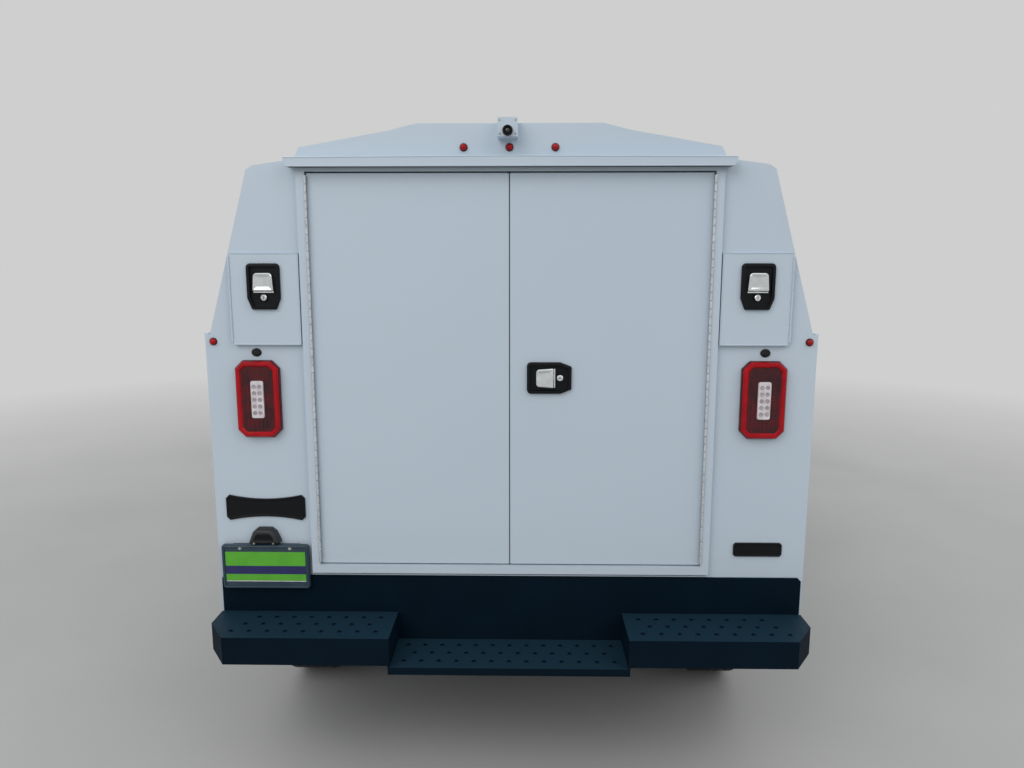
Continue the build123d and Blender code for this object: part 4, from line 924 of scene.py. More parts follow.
roof = Shape()
STATIONS = [-690, -560, -400, -307, -150, 0, 150, 307, 400, 560, 690]
for k in range(1, 5):
    y = ROOF_LOW.y + (ROOF_HIGH.y - ROOF_LOW.y) * k / 5
    rings = [[(x, y - 24, crown(x) - 1), (x, y - 23, crown(x) + 1.0), (x, y + 23, crown(x) + 1.0),
              (x, y + 24, crown(x) - 1)] for x in STATIONS]
    roof.loft(rings, BODY)
    for x in range(-675, 676, 75):
        for along in (-14, 14):
            rivet(roof, (x, y + along, crown(x) + 1), UP, 4.0)
for s in (-1, 1):
    roof.bar((s * 739 - 6, PACK_LOW.y + 6, 2146), (s * 739 + 6, PACK_HIGH.y - 6, 2152.5), BODY, 1.2)
roof.make("roof_seams", "root", "body_paint")

GUTTER_Z, FLANGE_X, FLANGE_LOW, FLANGE_TOP = 1574, 704, 716, 2118
RIVETS_FROM, RIVETS_TO, RIVET_PITCH = 640, 1550, 130
CREASE_Y, CREASE_Z = REAR_Y - 49.4, 2151
trim = Shape()
for s in (-1, 1):
    # rolled gutter over the locker doors, and the corner posts' rivets
    trim.tube([(s * 1040, REAR_Y + 4, GUTTER_Z), (s * 1040, PACK_HIGH.y - 3, GUTTER_Z)], 5.0, BODY, 10)
    for y in (REAR_Y + 16, PACK_HIGH.y - 14):
        rivet_row(trim, (s * 1042, y, RIVETS_FROM), (s * 1042, y, RIVETS_TO), (s, 0, 0), RIVET_PITCH)
    # folded flange beside the rear portal
    trim.bar((s * FLANGE_X - 2.2, REAR_Y - 5, FLANGE_LOW), (s * FLANGE_X + 2.2, REAR_Y + 1, FLANGE_TOP),
             BODY, 1.0)
trim.bar((-FLANGE_X - 2, REAR_Y - 9, FLANGE_LOW - 2), (FLANGE_X + 2, REAR_Y + 1, FLANGE_LOW + 2), BODY, 1.0)
# drip rail: hemmed lower lip with a thin dark strip behind it under the rail as painted shadow of the gap, and the
# crease above
low_lip = ROOF_LOW.z
trim.tube([(-724, ROOF_LOW.y + 2.5, low_lip + 1), (724, ROOF_LOW.y + 2.5, low_lip + 1)], 3.2, BODY, 10)
trim.bar((-722, REAR_Y - 40, low_lip - 0.8), (722, REAR_Y - 19, low_lip + 0.4), SEAL, 0.3)
trim.tube([(-728, CREASE_Y, CREASE_Z), (0, CREASE_Y, CREASE_Z + 4), (728, CREASE_Y, CREASE_Z)],
          2.2, BODY, 8)
trim.make("body_trim", "root", "body_paint")

for side, s in SIDES:
    low, high = span(f"rear_hatch_{side}")
    edge = Shape()
    edge.bar((low.x + 1, low.y - 4.5, low.z), (high.x - 1, low.y + 1, low.z + 3.2), BODY, 0.8)
    edge.bar((low.x + 1, low.y - 1.6, high.z - 2.6), (high.x - 1, low.y + 1, high.z), BODY, 0.6)
    inner_x = low.x if s > 0 else high.x
    edge.bar((inner_x - 1.2, low.y - 2.6, low.z + 2), (inner_x + 1.2, low.y + 1, high.z - 2), BODY, 0.5)
    edge.make(f"rear_hatch_edges_{side}", f"rear_hatch_{side}", "body_paint")
    gasket = Shape()
    outline = rectangle((low.x + 3, low.z + 3), (high.x - 3, high.z - 3), 4)
    gasket.at(facing((0, REAR_Y, 0), *REAR_FACING))
    gasket.layers(outline, [(-0.2, 0), (0.3, 0), (0.3, 6), (-0.2, 6)], SEAL, closed=True)
    gasket.make(f"rear_hatch_gasket_{side}", "root", "black_plastic")

# ---- tyres and wheels -------------------------------------------------------
TYRE_SIDE = [(66, 226), (66, 206), (73, 204.5), (81, 206), (84, 220), (92, 231), (96, 232), (99, 236),
             (108, 250), (117, 267), (121.5, 284), (123.5, 300), (122, 317), (119.5, 325), (120.5, 327.5),
             (119.5, 331), (115, 343), (109, 355), (104, 364), (98, 371), (90, 376), (66, 378), (30, 379)]
LINER_SIDE = [(84, 362), (104, 322), (107, 290), (97, 256)]
RIBS = (((-14, 14), 0.0, 0.10), ((20, 50), 0.5, 0.16), ((-50, -20), 0.0, -0.16))
SHOULDER = [(56, 375), (56, 386.2), (57, 387), (84, 387), (91, 384.6), (100, 376), (106.5, 362),
            (103, 357), (95, 368), (88, 374)]
BLOCKS = 54


def spun(centre, s, along, radius, angle):
    """A point at an angle round a wheel's axle, along being out from the wheel's middle."""
    return centre + Vector((s * along, radius * math.cos(angle), radius * math.sin(angle)))


def hoop(shape, profile, paint, centre, s, sides=72):
    """A closed profile of (along, radius) points turned round a wheel's axle."""
    shape.loft([[spun(centre, s, along, radius, t) for t in turns(sides)] for along, radius in profile],
               paint, closed=True)


def tread_block(shape, section, centre, s, start, sweep, skew):
    """One tread block: a section carried round the tyre, slanted by skew radians per 100 mm."""
    rings = []
    for angle, sink in ((0.0, 0.9), (0.04, 0.0), (0.96, 0.0), (1.0, 0.9)):
        rings.append([spun(centre, s, along, radius - (sink if radius > 380 else 0),
                           start + sweep * angle + skew * along / 100) for along, radius in section])
    shape.loft(rings, RUBBER)


def tyre(name, centre, s, body):
    shape = Shape()
    profile = ([(-a, r) for a, r in TYRE_SIDE] + TYRE_SIDE[::-1]
               + LINER_SIDE[::-1] + [(-a, r) for a, r in LINER_SIDE])
    hoop(shape, profile, RUBBER, centre, s)
    pitch = 2 * math.pi / BLOCKS
    for (low, high), shift, skew in RIBS:
        section = [(low, 376), (low, 386.2), (low + 0.9, 387), (high - 0.9, 387), (high, 386.2), (high, 376)]
        for k in range(BLOCKS):
            tread_block(shape, section, centre, s, (k + shift) * pitch, pitch * 0.80, skew)
    for hand in (1, -1):
        section = [(hand * a, r) for a, r in SHOULDER]
        for k in range(BLOCKS):
            tread_block(shape, section, centre, s, (k + 0.25) * pitch, pitch * 0.76, 0.12 * hand)
        # fine ribs round the sidewall
        for radius, out in ((243, 104.0), (345, 114.6)):
            hoop(shape, [(hand * (out - 2), radius - 2.4), (hand * (out + 0.6), radius - 1),
                         (hand * (out + 0.6), radius + 1), (hand * (out - 2), radius + 2.4)],
                 RUBBER, centre, s, 60)
    shape.make(name, body, "tyre", stands_for=[name.replace("_carcass", "")])


BOLT_CIRCLE = 165.1


def wheel_trim(name, centre, s, body):
    shape = Shape()
    axis = (s, 0, 0)
    for angle in turns(8):
        nut = [(0, 15.5), (1.6, 15.5), (3.5, 13.4), (4, 12.2), (20, 12.2), (24, 10.6), (26.4, 6), (27, 0)]
        shape.turned(nut, CHROME, spun(centre, s, 19, BOLT_CIRCLE / 2, angle), axis, 6)
        rivet_spot = spun(centre, s, 16, 60, angle + 0.39)
        shape.turned([(0, 4), (3, 4), (3.6, 3), (3.6, 0)], ZINC, rivet_spot, axis, 8)
    shape.turned([(12, 55), (22, 55), (24, 52), (26, 50.5), (46, 49), (54, 45.5), (57, 40), (57.6, 30)],
                 PLASTIC, centre, axis, 32)
    shape.turned([(57, 34), (60, 33), (62, 28), (63.5, 15), (64, 0)], GREY, centre, axis, 28)
    hoop(shape, [(48, 52), (49.5, 50.4), (48, 49), (46.5, 50.4)], CHROME, centre, s, 40)
    # rim edge bead, valve and balance weights
    for hand in (1, -1):
        hoop(shape, [(hand * 88, 222), (hand * 91.2, 221), (hand * 91.2, 217.6), (hand * 88, 216.6)],
             WHEEL, centre, s, 64)
    base = spun(centre, s, 40, 176, 0.9)
    tip = spun(centre, s, 70, 166, 0.9)
    shape.tube([base, base.lerp(tip, 0.55)], 5.6, SEAL, 10)
    shape.tube([base.lerp(tip, 0.5), tip], 3.6, ZINC, 10)
    weight = ((86, 206), (93, 207), (93, 215), (86, 216))
    for angle in (2.2, 4.9):
        shape.loft([[spun(centre, s, a, r, angle + 0.02 * k) for a, r in weight] for k in range(7)], ZINC)
    shape.make(name, body, "wheel_steel")


for axle in ("front", "rear"):
    for side, s in SIDES:
        centre = joint_place(f"spin_{axle}_{side}")
        tyre(f"tyre_{axle}_{side}_carcass", centre, s, f"wheel_{axle}_{side}")
        wheel_trim(f"wheel_fittings_{axle}_{side}", centre, s, f"wheel_{axle}_{side}")


# ---- cab outside ------------------------------------------------------------
def hull(points):
    """Convex outline of flat points, anticlockwise, with no point on a straight run."""
    points = sorted({(round(p[0], 1), round(p[1], 1)) for p in points})
    chain = []
    for order in (points, points[::-1]):
        part = []
        for p in order:
            while len(part) > 1 and ((part[-1][0] - part[-2][0]) * (p[1] - part[-2][1])
                                     - (part[-1][1] - part[-2][1]) * (p[0] - part[-2][0])) <= 0:
                part.pop()
            part.append(p)
        chain += part[:-1]
    kept = []
    for i, p in enumerate(chain):
        into = Vector(p) - Vector(chain[i - 1])
        out = Vector(chain[(i + 1) % len(chain)]) - Vector(p)
        if into.length > 3 and abs(into.x * out.y - into.y * out.x) > 0.02 * into.length * out.length:
            kept.append(Vector(p))
    return kept


def seen(node, across):
    """Outline of a CAD node in a level view; across is 0 for a view along y, 1 for a view along x."""
    return hull([(v.co[across] / MM, v.co.z / MM) for v in NODES[node].data.vertices])


def sampled(loop, pitch=45.0):
    """The loop with points at most a pitch apart."""
    dense = []
    for a, b in zip(loop, loop[1:] + loop[:1]):
        count = max(1, math.ceil((b - a).length / pitch))
        dense += [a.lerp(b, k / count) for k in range(count)]
    return dense


def surface_strip(shape, node, loop, toward, section, paint, inside):
    """A strip along a loop on a curved surface. toward is the way a ray looks at the surface; the
    section's points are (outwards from the loop, out of the surface)."""
    toward = Vector(toward)
    flat = (lambda p, far: (p.x, far, p.y)) if abs(toward.y) > 0.5 else (lambda p, far: (far, p.x, p.y))
    far = -FAR * (toward.y if abs(toward.y) > 0.5 else toward.x)
    rings = []
    for i, p in enumerate(loop):
        before, after = p - loop[i - 1], loop[(i + 1) % len(loop)] - p
        edge = before.normalized() + after.normalized()
        away = Vector((edge.y, -edge.x)).normalized()
        place, normal = touch(node, flat(p - away * inside, far), toward)
        if place is None:
            continue
        if normal.dot(toward) > 0:
            normal = -normal
        out = Vector(flat(away, 0.0))
        out -= normal * out.dot(normal)
        out.normalize()
        rings.append([place + out * (inside + along) + normal * lift for along, lift in section])
    shape.loft(rings, paint, closed=True)


# windscreen seal with its ceramic border, on the glass
screen_loop = sampled(Outline(seen("windscreen", 0), 8.0, 3).loop())
surround = Shape()
surface_strip(surround, "windscreen", screen_loop, BACK,
              [(-44, 0.3), (-44, 0.9), (-12, 1.0), (-7, 3.5), (-2, 9.6), (3, 11.2), (3, 9.4), (0, 7),
               (-1.2, 0.2)], SEAL, 6.0)
surround.make("windscreen_surround", "root", "black_plastic")

for side, s in SIDES:
    toward = (-s, 0, 0)
    glass_loop = sampled(Outline(seen(f"door_glass_{side}", 1), 12.0, 3).loop())
    seals = Shape()
    surface_strip(seals, f"door_glass_{side}", glass_loop, toward,
                  [(-9, 0.2), (-9, 1.6), (-5, 3), (-1.5, 15), (0, 19.5), (6, 20.4), (6.5, 18.6), (1.5, 17.4),
                   (0.4, 15), (-0.6, 0.2)], SEAL, 14.0)
    # division bar of the quarter light
    belt = min(p.y for p in glass_loop)
    bar_y = span(f"door_glass_{side}")[1].y - 262
    ends = [from_side(f"door_glass_{side}", s, bar_y, z)[0] for z in (belt + 6, belt + 400)]
    seals.tube([ends[0] + Vector((s * 4, 0, 0)), ends[1] + Vector((s * 4, 0, 0))], 0, SEAL,
               section=((-11, -4), (11, -4), (11, 5), (8, 8), (-8, 8), (-11, 5)))
    seals.make(f"door_window_seal_{side}", f"cab_door_{side}", "black_plastic")

    # weather seal round the door opening, in the shut line
    door_loop = sampled(seen(f"cab_door_{side}", 1), 60.0)
    gap = Shape()
    surface_strip(gap, f"cab_door_{side}", door_loop, toward,
                  [(1.6, -20), (1.6, -27), (7, -27), (7, -20)], SEAL, 9.0)
    gap.make(f"cab_door_opening_seal_{side}", "root", "black_plastic")

    # pull handle in its cup, with the lock behind
    spot, normal = from_side(f"cab_door_{side}", s, span(f"cab_door_{side}")[0].y + 128, 1165)
    handle = Shape().at(facing(spot, (0, s, 0), normal))
    handle.layers(oblong(92, 33, 26), [(0, 0), (2.4, 0), (4, 2), (3.6, 6), (0.6, 20)], PLASTIC)
    handle.layers(rectangle((-82, 3), (82, 25), 9), [(2, 5), (12, 1), (17, 0), (21, 2), (22.5, 6)], PLASTIC)
    handle.turned([(0, 12), (2.6, 12), (3.8, 10.5), (3.8, 7.5), (3, 6.8), (3, 0)], ZINC, (-s * 116, 6, 0))
    handle.make(f"cab_door_handle_{side}", f"cab_door_{side}", "black_plastic")

    # mirror glasses: flat above, wide-angle below
    low, high = span(f"door_mirror_{side}")
    head_low, head_high = (1048, 1190)
    glass = Shape().at(facing((s * (head_low + head_high) / 2, low.y, (low.z + high.z) / 2), *REAR_FACING))
    half = (high.z - low.z) / 2
    glass.layers(rectangle((-66, -half + 6), (66, half - 6), 24),
                 [(-3, 0), (0.5, 0), (3, 1.5), (3.4, 4), (1.5, 6)], PLASTIC)
    for lower, upper, steps in ((-half + 76, half - 14, [(0.5, 0), (2.4, 0), (2.9, 0.8)]),
                                (-half + 14, -half + 69, [(0.5, 0), (2.4, 0), (3.6, 5), (4.2, 14)])):
        glass.layers(rectangle((-58, lower), (58, upper), 14), steps, MIRROR_GLASS)
    glass.make(f"mirror_glass_{side}", f"cab_door_{side}", "glass")

    # door bump strip at sill height
    strip = Shape()
    door_low, door_high = span(f"cab_door_{side}")
    stations = even(door_low.y + 10, door_high.y - 10, 12)
    strip.ribbon([from_side(f"cab_door_{side}", s, y, 760) for y in stations],
                 [(-21, -1), (-21, 3), (-15, 6.5), (15, 6.5), (21, 3), (21, -1)], PLASTIC)
    strip.make(f"door_bump_strip_{side}", f"cab_door_{side}", "black_plastic")

# drip channels over the doors
for side, s in SIDES:
    gutter = Shape()
    door_loop = seen(f"cab_door_{side}", 1)
    top = max(p.y for p in door_loop)
    spots = [from_side("cab_shell", s, y, top + 26) for y in range(340, 1061, 40)]
    path = [place + normal * 2 for place, normal in spots if place is not None]
    gutter.tube(path, 0, CAB, section=((-5, -5), (5, -5), (6, 2), (2, 6), (-5, 6)))
    gutter.make(f"cab_drip_channel_{side}", "root", "cab_paint")

# roof markers on the cab
cab_roof = Shape()
for x in (-620, -170, 0, 170, 620):
    spot, normal = from_above("cab_shell", x, 1035 - abs(x) * 0.06)
    cab_roof.at(facing(spot, RIGHT, normal))
    cab_roof.layers(rectangle((-52, -24), (52, 30), 20), [(-1, 0), (3, 0), (5, 2), (5.4, 4)], SEAL)
    cab_roof.layers(rectangle((-46, -19), (46, 23), 17), [(4, 0), (10, 1), (18, 5), (22, 11), (23, 16)],
                    AMBER)
cab_roof.make("cab_roof_markers", "root", "lamp_lens")

# cowl grille below the windscreen, washer jets on the hood, wipers on the glass
HOOD_LOW = span("hood")[0]
cowl = Shape()


def cowl_points(x, front, back, lifts):
    """Points on the cowl at x, on lines so far in front of and behind the hood's edge, and lifted."""
    bow = x ** 2 / 6500 * 0.9
    ends = [from_above("cab_shell", x, HOOD_LOW.y - away - bow)[0] for away in (front, back)]
    return [end + Vector((0, 0, lift)) for end, heights in zip(ends, lifts) for lift in heights]


for low_x, high_x in ((-700, -20), (20, 700)):
    cowl.loft([cowl_points(x, 12, 52, ((-1, 2.4), (2.6, -1))) for x in even(low_x, high_x, 14)], PLASTIC)
    for x in even(low_x + 12, high_x - 12, 28):
        cowl.tube(cowl_points(x, 17, 47, ((3.6,), (3.8,))), 3.0, SEAL, 6)
cowl.make("cowl_grille", "root", "black_plastic")

for name, pivot_x in (("left", -560), ("right", 60)):
    wiper = Shape()
    screen_low = min(p.y for p in screen_loop)
    pivot, normal = from_front("windscreen", pivot_x, screen_low + 22)
    wiper.turned([(0, 15), (16, 14), (22, 10), (24, 0)], PLASTIC, pivot, normal, 20)
    tip, tip_normal = from_front("windscreen", pivot_x + 330, screen_low + 86)
    arm = [pivot + normal * 17, pivot.lerp(tip, 0.35) + normal * 26, tip + tip_normal * 19]
    wiper.tube(arm, 0, LATCH, section=((-7, -3), (7, -3), (6, 3), (-6, 3)))
    spots = [from_front("windscreen", pivot_x + 60 + k * 52, screen_low + 39 + k * 4.6) for k in range(11)]
    blade = [(place, lift) for place, lift in spots if place is not None]
    wiper.tube([p + n * 4 for p, n in blade], 0, SEAL, section=((-2, -3.4), (2, -3.4), (4, 3), (-4, 3)))
    spine = [p + n * (12 + 3 * math.sin(math.pi * i / len(blade))) for i, (p, n) in enumerate(blade)]
    wiper.tube(spine, 0, LATCH, section=((-7, -4), (7, -4), (5, 4), (-5, 4)))
    wiper.make(f"wiper_{name}", "root", "black_plastic")

jets = Shape()
for x in (-300, 300):
    spot, normal = from_above("hood", x, HOOD_LOW.y + 130)
    jets.at(facing(spot, RIGHT, normal))
    jets.layers(oblong(13, 9, 6), [(-0.5, 0), (4, 1), (7, 3.5), (7.6, 5.5)], PLASTIC)
jets.make("washer_jets", "hood", "black_plastic")

# ---- front end --------------------------------------------------------------
LAMP_LOW, LAMP_HIGH = span("headlights")
LAMP_IN_X, CORNER = 488.0, (930.0, 2366.0)


FRONT_STEPS, CORNER_STEPS = 16, 9


def lamp_column(s, step):
    """Start and direction of the ray that finds the lamp's face at a step round its front."""
    if step <= FRONT_STEPS:
        x = LAMP_IN_X + 2 + (CORNER[0] - LAMP_IN_X - 2) * step / FRONT_STEPS
        return (s * x, FAR), (0, -1)
    angle = math.pi / 2 * (1 - (step - FRONT_STEPS) / CORNER_STEPS)
    cos, sin = math.cos(angle), math.sin(angle)
    return (s * (CORNER[0] + 400 * cos), CORNER[1] + 400 * sin), (-s * cos, -sin)


def lamp_point(s, step, z, depth):
    start, toward = lamp_column(s, step)
    place, normal = touch("headlights", (*start, z), (*toward, 0))
    if normal.dot(Vector((*toward, 0))) > 0:
        normal = -normal
    return place - normal * depth


def lamp_sheet(shape, s, steps, heights, near, deep, paint):
    """A closed sheet over part of the lamp's face, between two depths."""
    outline = [(z, near) for z in heights] + [(z, deep) for z in heights[::-1]]
    shape.loft([[lamp_point(s, step, z, depth) for z, depth in outline] for step in steps], paint)


ALL_STEPS = range(FRONT_STEPS + CORNER_STEPS + 1)
HEIGHTS = even(LAMP_LOW.z + 2, LAMP_HIGH.z - 2, 5)
for side, s in SIDES:
    lamp = Shape()
    lamp_sheet(lamp, s, ALL_STEPS, HEIGHTS, 0.0, 3.0, CLEAR)
    lamp.make(f"headlight_lens_{side}", "root", "lamp_lens", stands_for=["headlights"])
    inner = Shape()
    lamp_sheet(inner, s, ALL_STEPS, HEIGHTS, 30.0, 34.0, PLASTIC)
    for low_z, high_z in ((LAMP_LOW.z + 2, LAMP_LOW.z + 7), (LAMP_HIGH.z - 7, LAMP_HIGH.z - 2)):
        lamp_sheet(inner, s, ALL_STEPS, [low_z, high_z], 3.4, 30.0, PLASTIC)
    for end_wall in (ALL_STEPS[:2], ALL_STEPS[-2:]):
        lamp_sheet(inner, s, end_wall, HEIGHTS, 3.4, 30.0, PLASTIC)
    lamp_sheet(inner, s, ALL_STEPS[FRONT_STEPS + 2:-1], HEIGHTS[1:-1], 8.0, 14.0, AMBER)
    lamp_sheet(inner, s, ALL_STEPS[:FRONT_STEPS + 1:2], [HEIGHTS[0] + 8, HEIGHTS[1]], 12.0, 20.0, CHROME)
    middle_z = (LAMP_LOW.z + LAMP_HIGH.z) / 2 + 6
    for x in (600, 790):
        face, _ = from_front("headlights", s * x, middle_z)
        centre = Vector((s * x, face.y - 33, middle_z))
        inner.turned([(0, 82), (14, 82), (17, 79), (15, 75), (5, 66), (3, 58), (6, 54), (12, 52), (14, 48)],
                     CHROME, centre, AHEAD, 36)
        inner.turned([(8, 49), (14, 46), (20, 36), (23.5, 20), (24.5, 0)], MIRROR_GLASS, centre, AHEAD, 32)
    inner.make(f"headlight_housing_{side}", "root", "lamp_lens")

GRILLE_LOW, GRILLE_HIGH = span("grille")
core = Shape()
core.bar((-352, 2330, 608), (352, 2378, 932), COOLER, 3.0)
for k in range(34):
    z = 616 + k * 9.2
    core.bar((-346, 2378, z), (346, 2381.5, z + 4.2), COOLER, 0.5)
for s in (-1, 1):
    core.bar((s * 372 - 22, 2322, 606), (s * 372 + 22, 2386, 938), PLASTIC, 8.0, 8.0)
core.bar((-400, 2326, 930), (400, 2382, 966), PLASTIC, 6.0)
core.turned([(0, 20), (10, 24), (26, 24), (28, 20), (28, 0)], LATCH, (240, 2352, 966), UP, 16)
core.make("radiator", "root", "chassis")

border = Shape()
surface_strip(border, "cab_shell", sampled(rectangle((-473, GRILLE_LOW.z - 2), (473, GRILLE_HIGH.z + 2), 12,
                                                    3).loop()), BACK,
              [(-6, 1.0), (-6, 5.0), (-2, 7.5), (4, 7.5), (9, 3), (9, 0.2)], CHROME, -14.0)
border.make("grille_surround", "root", "grey_plastic")

# bumper: rubbing strip, three dark slots and two fog lamps
nose = Shape()
nose.ribbon([from_front("front_bumper", x, 566) for x in even(-930, 930, 32)],
            [(-16, 0.3), (-12, 4), (0, 5.5), (12, 4), (16, 0.3)], RUBBER)
for row in range(3):
    nose.ribbon([from_front("front_bumper", x, 446 + row * 26) for x in even(-330, 330, 18)],
                [(-9, -0.5), (-9, 0.8), (9, 0.8), (9, -0.5)], SEAL)
for s in (-1, 1):
    spot, normal = from_front("front_bumper", s * 690, 486)
    nose.at(facing(spot, RIGHT, normal))
    nose.layers(oblong(42, 34, 16), [(-6, 0), (4, 0), (6, 2), (5.5, 5), (3, 7)], SEAL)
    nose.turned([(1, 27), (6, 27), (8, 24), (5, 21)], PLASTIC, (0, 0, 0), UP, 24)
    nose.turned([(2, 22), (5, 20), (7.5, 12), (8.4, 0)], WHITE_LENS, (0, 0, 0), UP, 24)
    nose.at(Matrix())
nose.make("front_bumper_trim", "root", "black_plastic")


# ---- seats: soft goods modelled over the CAD blocks --------------------------
def stuffing(u, v, half_u, half_v, crown, bolster, channels, depth):
    """Height of a stuffed face above its edge: crown, side bolsters, long seams and cross channels."""
    height = crown * (1 - 0.45 * (u / half_u) ** 2 - 0.35 * (v / half_v) ** 2)
    height += bolster * math.exp(-((abs(u) / half_u - 0.80) / 0.12) ** 2)
    height -= depth * 1.25 * math.exp(-((abs(u) / half_u - 0.62) * half_u / 5.0) ** 2)
    if abs(u) < 0.62 * half_u:
        for line in channels:
            height -= depth * math.exp(-((v - line * half_v) / 5.0) ** 2)
    return height


def pad(name, place, half_u, half_v, thickness, crown, bolster=0.0, channels=(), depth=5.5, corner=0.3):
    """A closed stuffed form whose face is a fine grid, so that its seams and channels are in its shape."""
    made = Shape().at(place)
    columns, rows = 48, 56
    wide = columns + 1
    front, back = [], []
    for j in range(rows + 1):
        for i in range(wide):
            # finer towards the rim, and drawn in at the corners
            u = math.sin(math.pi / 2 * (2 * i / columns - 1))
            v = math.sin(math.pi / 2 * (2 * j / rows - 1))
            x = half_u * u * (1 - corner * abs(v) ** 7 * abs(u) ** 3)
            y = half_v * v * (1 - corner * abs(u) ** 7 * abs(v) ** 3)
            rim = 1 - max(abs(u), abs(v))
            swell = math.sqrt(1 - (1 - min(rim / 0.16, 1.0)) ** 2)
            lift = stuffing(x, y, half_u, half_v, crown, bolster, channels, depth)
            front.append((x, y, thickness * (0.60 + 0.40 * swell) + lift * swell))
            back.append((x * 0.965, y * 0.965, 6.0 * (1 - swell)))
    count = len(front)
    faces = []
    for j in range(rows):
        for i in range(columns):
            a = j * wide + i
            faces.append([a, a + 1, a + wide + 1, a + wide])
            faces.append([count + a, count + a + wide, count + a + wide + 1, count + a + 1])
    rim = ([*range(columns)] + [j * wide + columns for j in range(rows)]
           + [rows * wide + columns - i for i in range(columns)] + [(rows - j) * wide for j in range(rows)])
    made.add(front + back, faces, SEAT_CLOTH)
    made.loft([[back[k] for k in rim],
               [(front[k][0], front[k][1], front[k][2] * 0.35) for k in rim],
               [(front[k][0] * 1.008, front[k][1] * 1.008, front[k][2] * 0.75) for k in rim],
               [front[k] for k in rim]], SEAT_VINYL, ends=False)
    piece = made.make(name, "root", "seat_cloth", 60.0, ["seats"])
    piping = Shape().at(place)
    edge = [Vector((front[k][0] * 1.004, front[k][1] * 1.004, front[k][2])) for k in rim[::3]]
    piping.tube(edge, 3.0, SEAT_VINYL, 8, closed=True)
    piping.make(f"{name}_piping", "root", "cab_trim")


SEAT_X = 430.0
LEAN = math.radians(13.6)
LEAN_OUT = Vector((0, math.cos(LEAN), math.sin(LEAN)))
for side, s in SIDES:
    x = s * SEAT_X
    pad(f"seat_cushion_{side}", facing((x, 814, 792), RIGHT, UP), 234, 264, 106, 16, 16,
        (-0.50, -0.16, 0.18, 0.52))
    pad(f"seat_back_{side}", facing((x, 464, 1160), LEFT, LEAN_OUT), 228, 304, 116, 14, 22,
        (-0.66, -0.38, -0.10, 0.18, 0.46))
    pad(f"headrest_{side}", facing((x, 416, 1572), LEFT, AHEAD), 126, 88, 90, 16, depth=0, corner=0.4)
    stand = Shape()
    for post in (-62, 62):
        stand.tube([(x + post, 447, 1420), (x + post, 452, 1500), (x + post, 455, 1560)], 6.0, CHROME, 12)
        stand.turned([(0, 15), (5, 15), (8, 11), (8, 7)], PLASTIC, (x + post, 449, 1462), UP, 16)
    for rail in (-170, 170):
        stand.bar((x + rail - 22, 620, 661), (x + rail + 22, 985, 682), ZINC, 2.5)
        stand.bar((x + rail - 13, 630, 680), (x + rail + 13, 975, 794), CHASSIS, 3.0)
    stand.bar((x - 172, 640, 700), (x + 172, 975, 782), CHASSIS, 6.0)
    for hand in (-1, 1):
        stand.at(facing((x + hand * 232, 814, 0), (0, hand, 0), (hand, 0, 0)))
        cover = ((-262, 752), (236, 752), (226, 806), (-150, 818), (-214, 930), (-262, 930))
        stand.layers(Outline([(hand * along, up) for along, up in cover], 16.0),
                     [(-6, 0), (3, 0), (7, 3), (8, 9)], TRIM)
    stand.at(Matrix())
    lever = [(x - 60, 996, 690), (x - 60, 1032, 700), (x + 60, 1032, 700), (x + 60, 996, 690)]
    stand.tube(lever, 5.0, LATCH, 10)
    stand.make(f"seat_frame_{side}", "root", "cab_trim")
    belt = Shape()
    pillar = Vector((s * 846, 352, 1500))
    strap = [pillar, (s * 862, 356, 1300), (s * 868, 362, 900), (s * 850, 370, 735)]
    belt.tube(strap, 0, BELT, section=((-1.2, -23), (1.2, -23), (1.2, 23), (-1.2, 23)))
    belt.bar((s * 850 - 36, 330, 664), (s * 850 + 36, 412, 744), PLASTIC, 8.0, 10.0)
    belt.at(facing(pillar, (0, s, 0), (-s, 0, 0)))
    belt.layers(oblong(30, 26, 12), [(-8, 0), (6, 0), (10, 3), (10, 8)], PLASTIC)
    belt.at(Matrix())
    belt.tube([(s * 176, 640, 700), (s * 176, 644, 815)], 7.0, SEAL, 10)
    belt.bar((s * 176 - 13, 624, 808), (s * 176 + 13, 668, 884), PLASTIC, 4.0, 6.0)
    belt.bar((s * 176 - 8, 634, 883), (s * 176 + 8, 658, 887), RED, 1.2)
    belt.make(f"seat_belt_{side}", "root", "cab_trim")

# ---- cab inside -------------------------------------------------------------
WHEEL_CENTRE = joint_place("steering_column")
WHEEL_AXIS = Vector((0, -0.819, 0.574))


def dash_frame(x, z):
    """Frame on the dashboard's face: local x left to right as the driver sees it, z towards the seats."""
    place, normal = touch("dashboard", (x, 600, z), AHEAD)
    return facing(place, RIGHT, normal)


dash = Shape()
for x in (-760, -150, 150, 760):
    dash.at(dash_frame(x, 1150))
    dash.layers(oblong(62, 26, 9), [(-2, 0), (3, 0), (5, 2), (4, 6), (-2, 8)], PLASTIC)
    for k in range(4):
        dash.bar((-54, -18 + k * 11, 0.5), (54, -15.6 + k * 11, 4.4), LATCH, 0.6)
    for k in (-1, 0, 1):
        dash.bar((k * 27 - 1.2, -19, 0.5), (k * 27 + 1.2, 19, 3.2), LATCH, 0.4)
    dash.turned([(0, 6), (3, 6), (4, 4.5), (4, 0)], GREY, (0, 0, 2), sides=14)
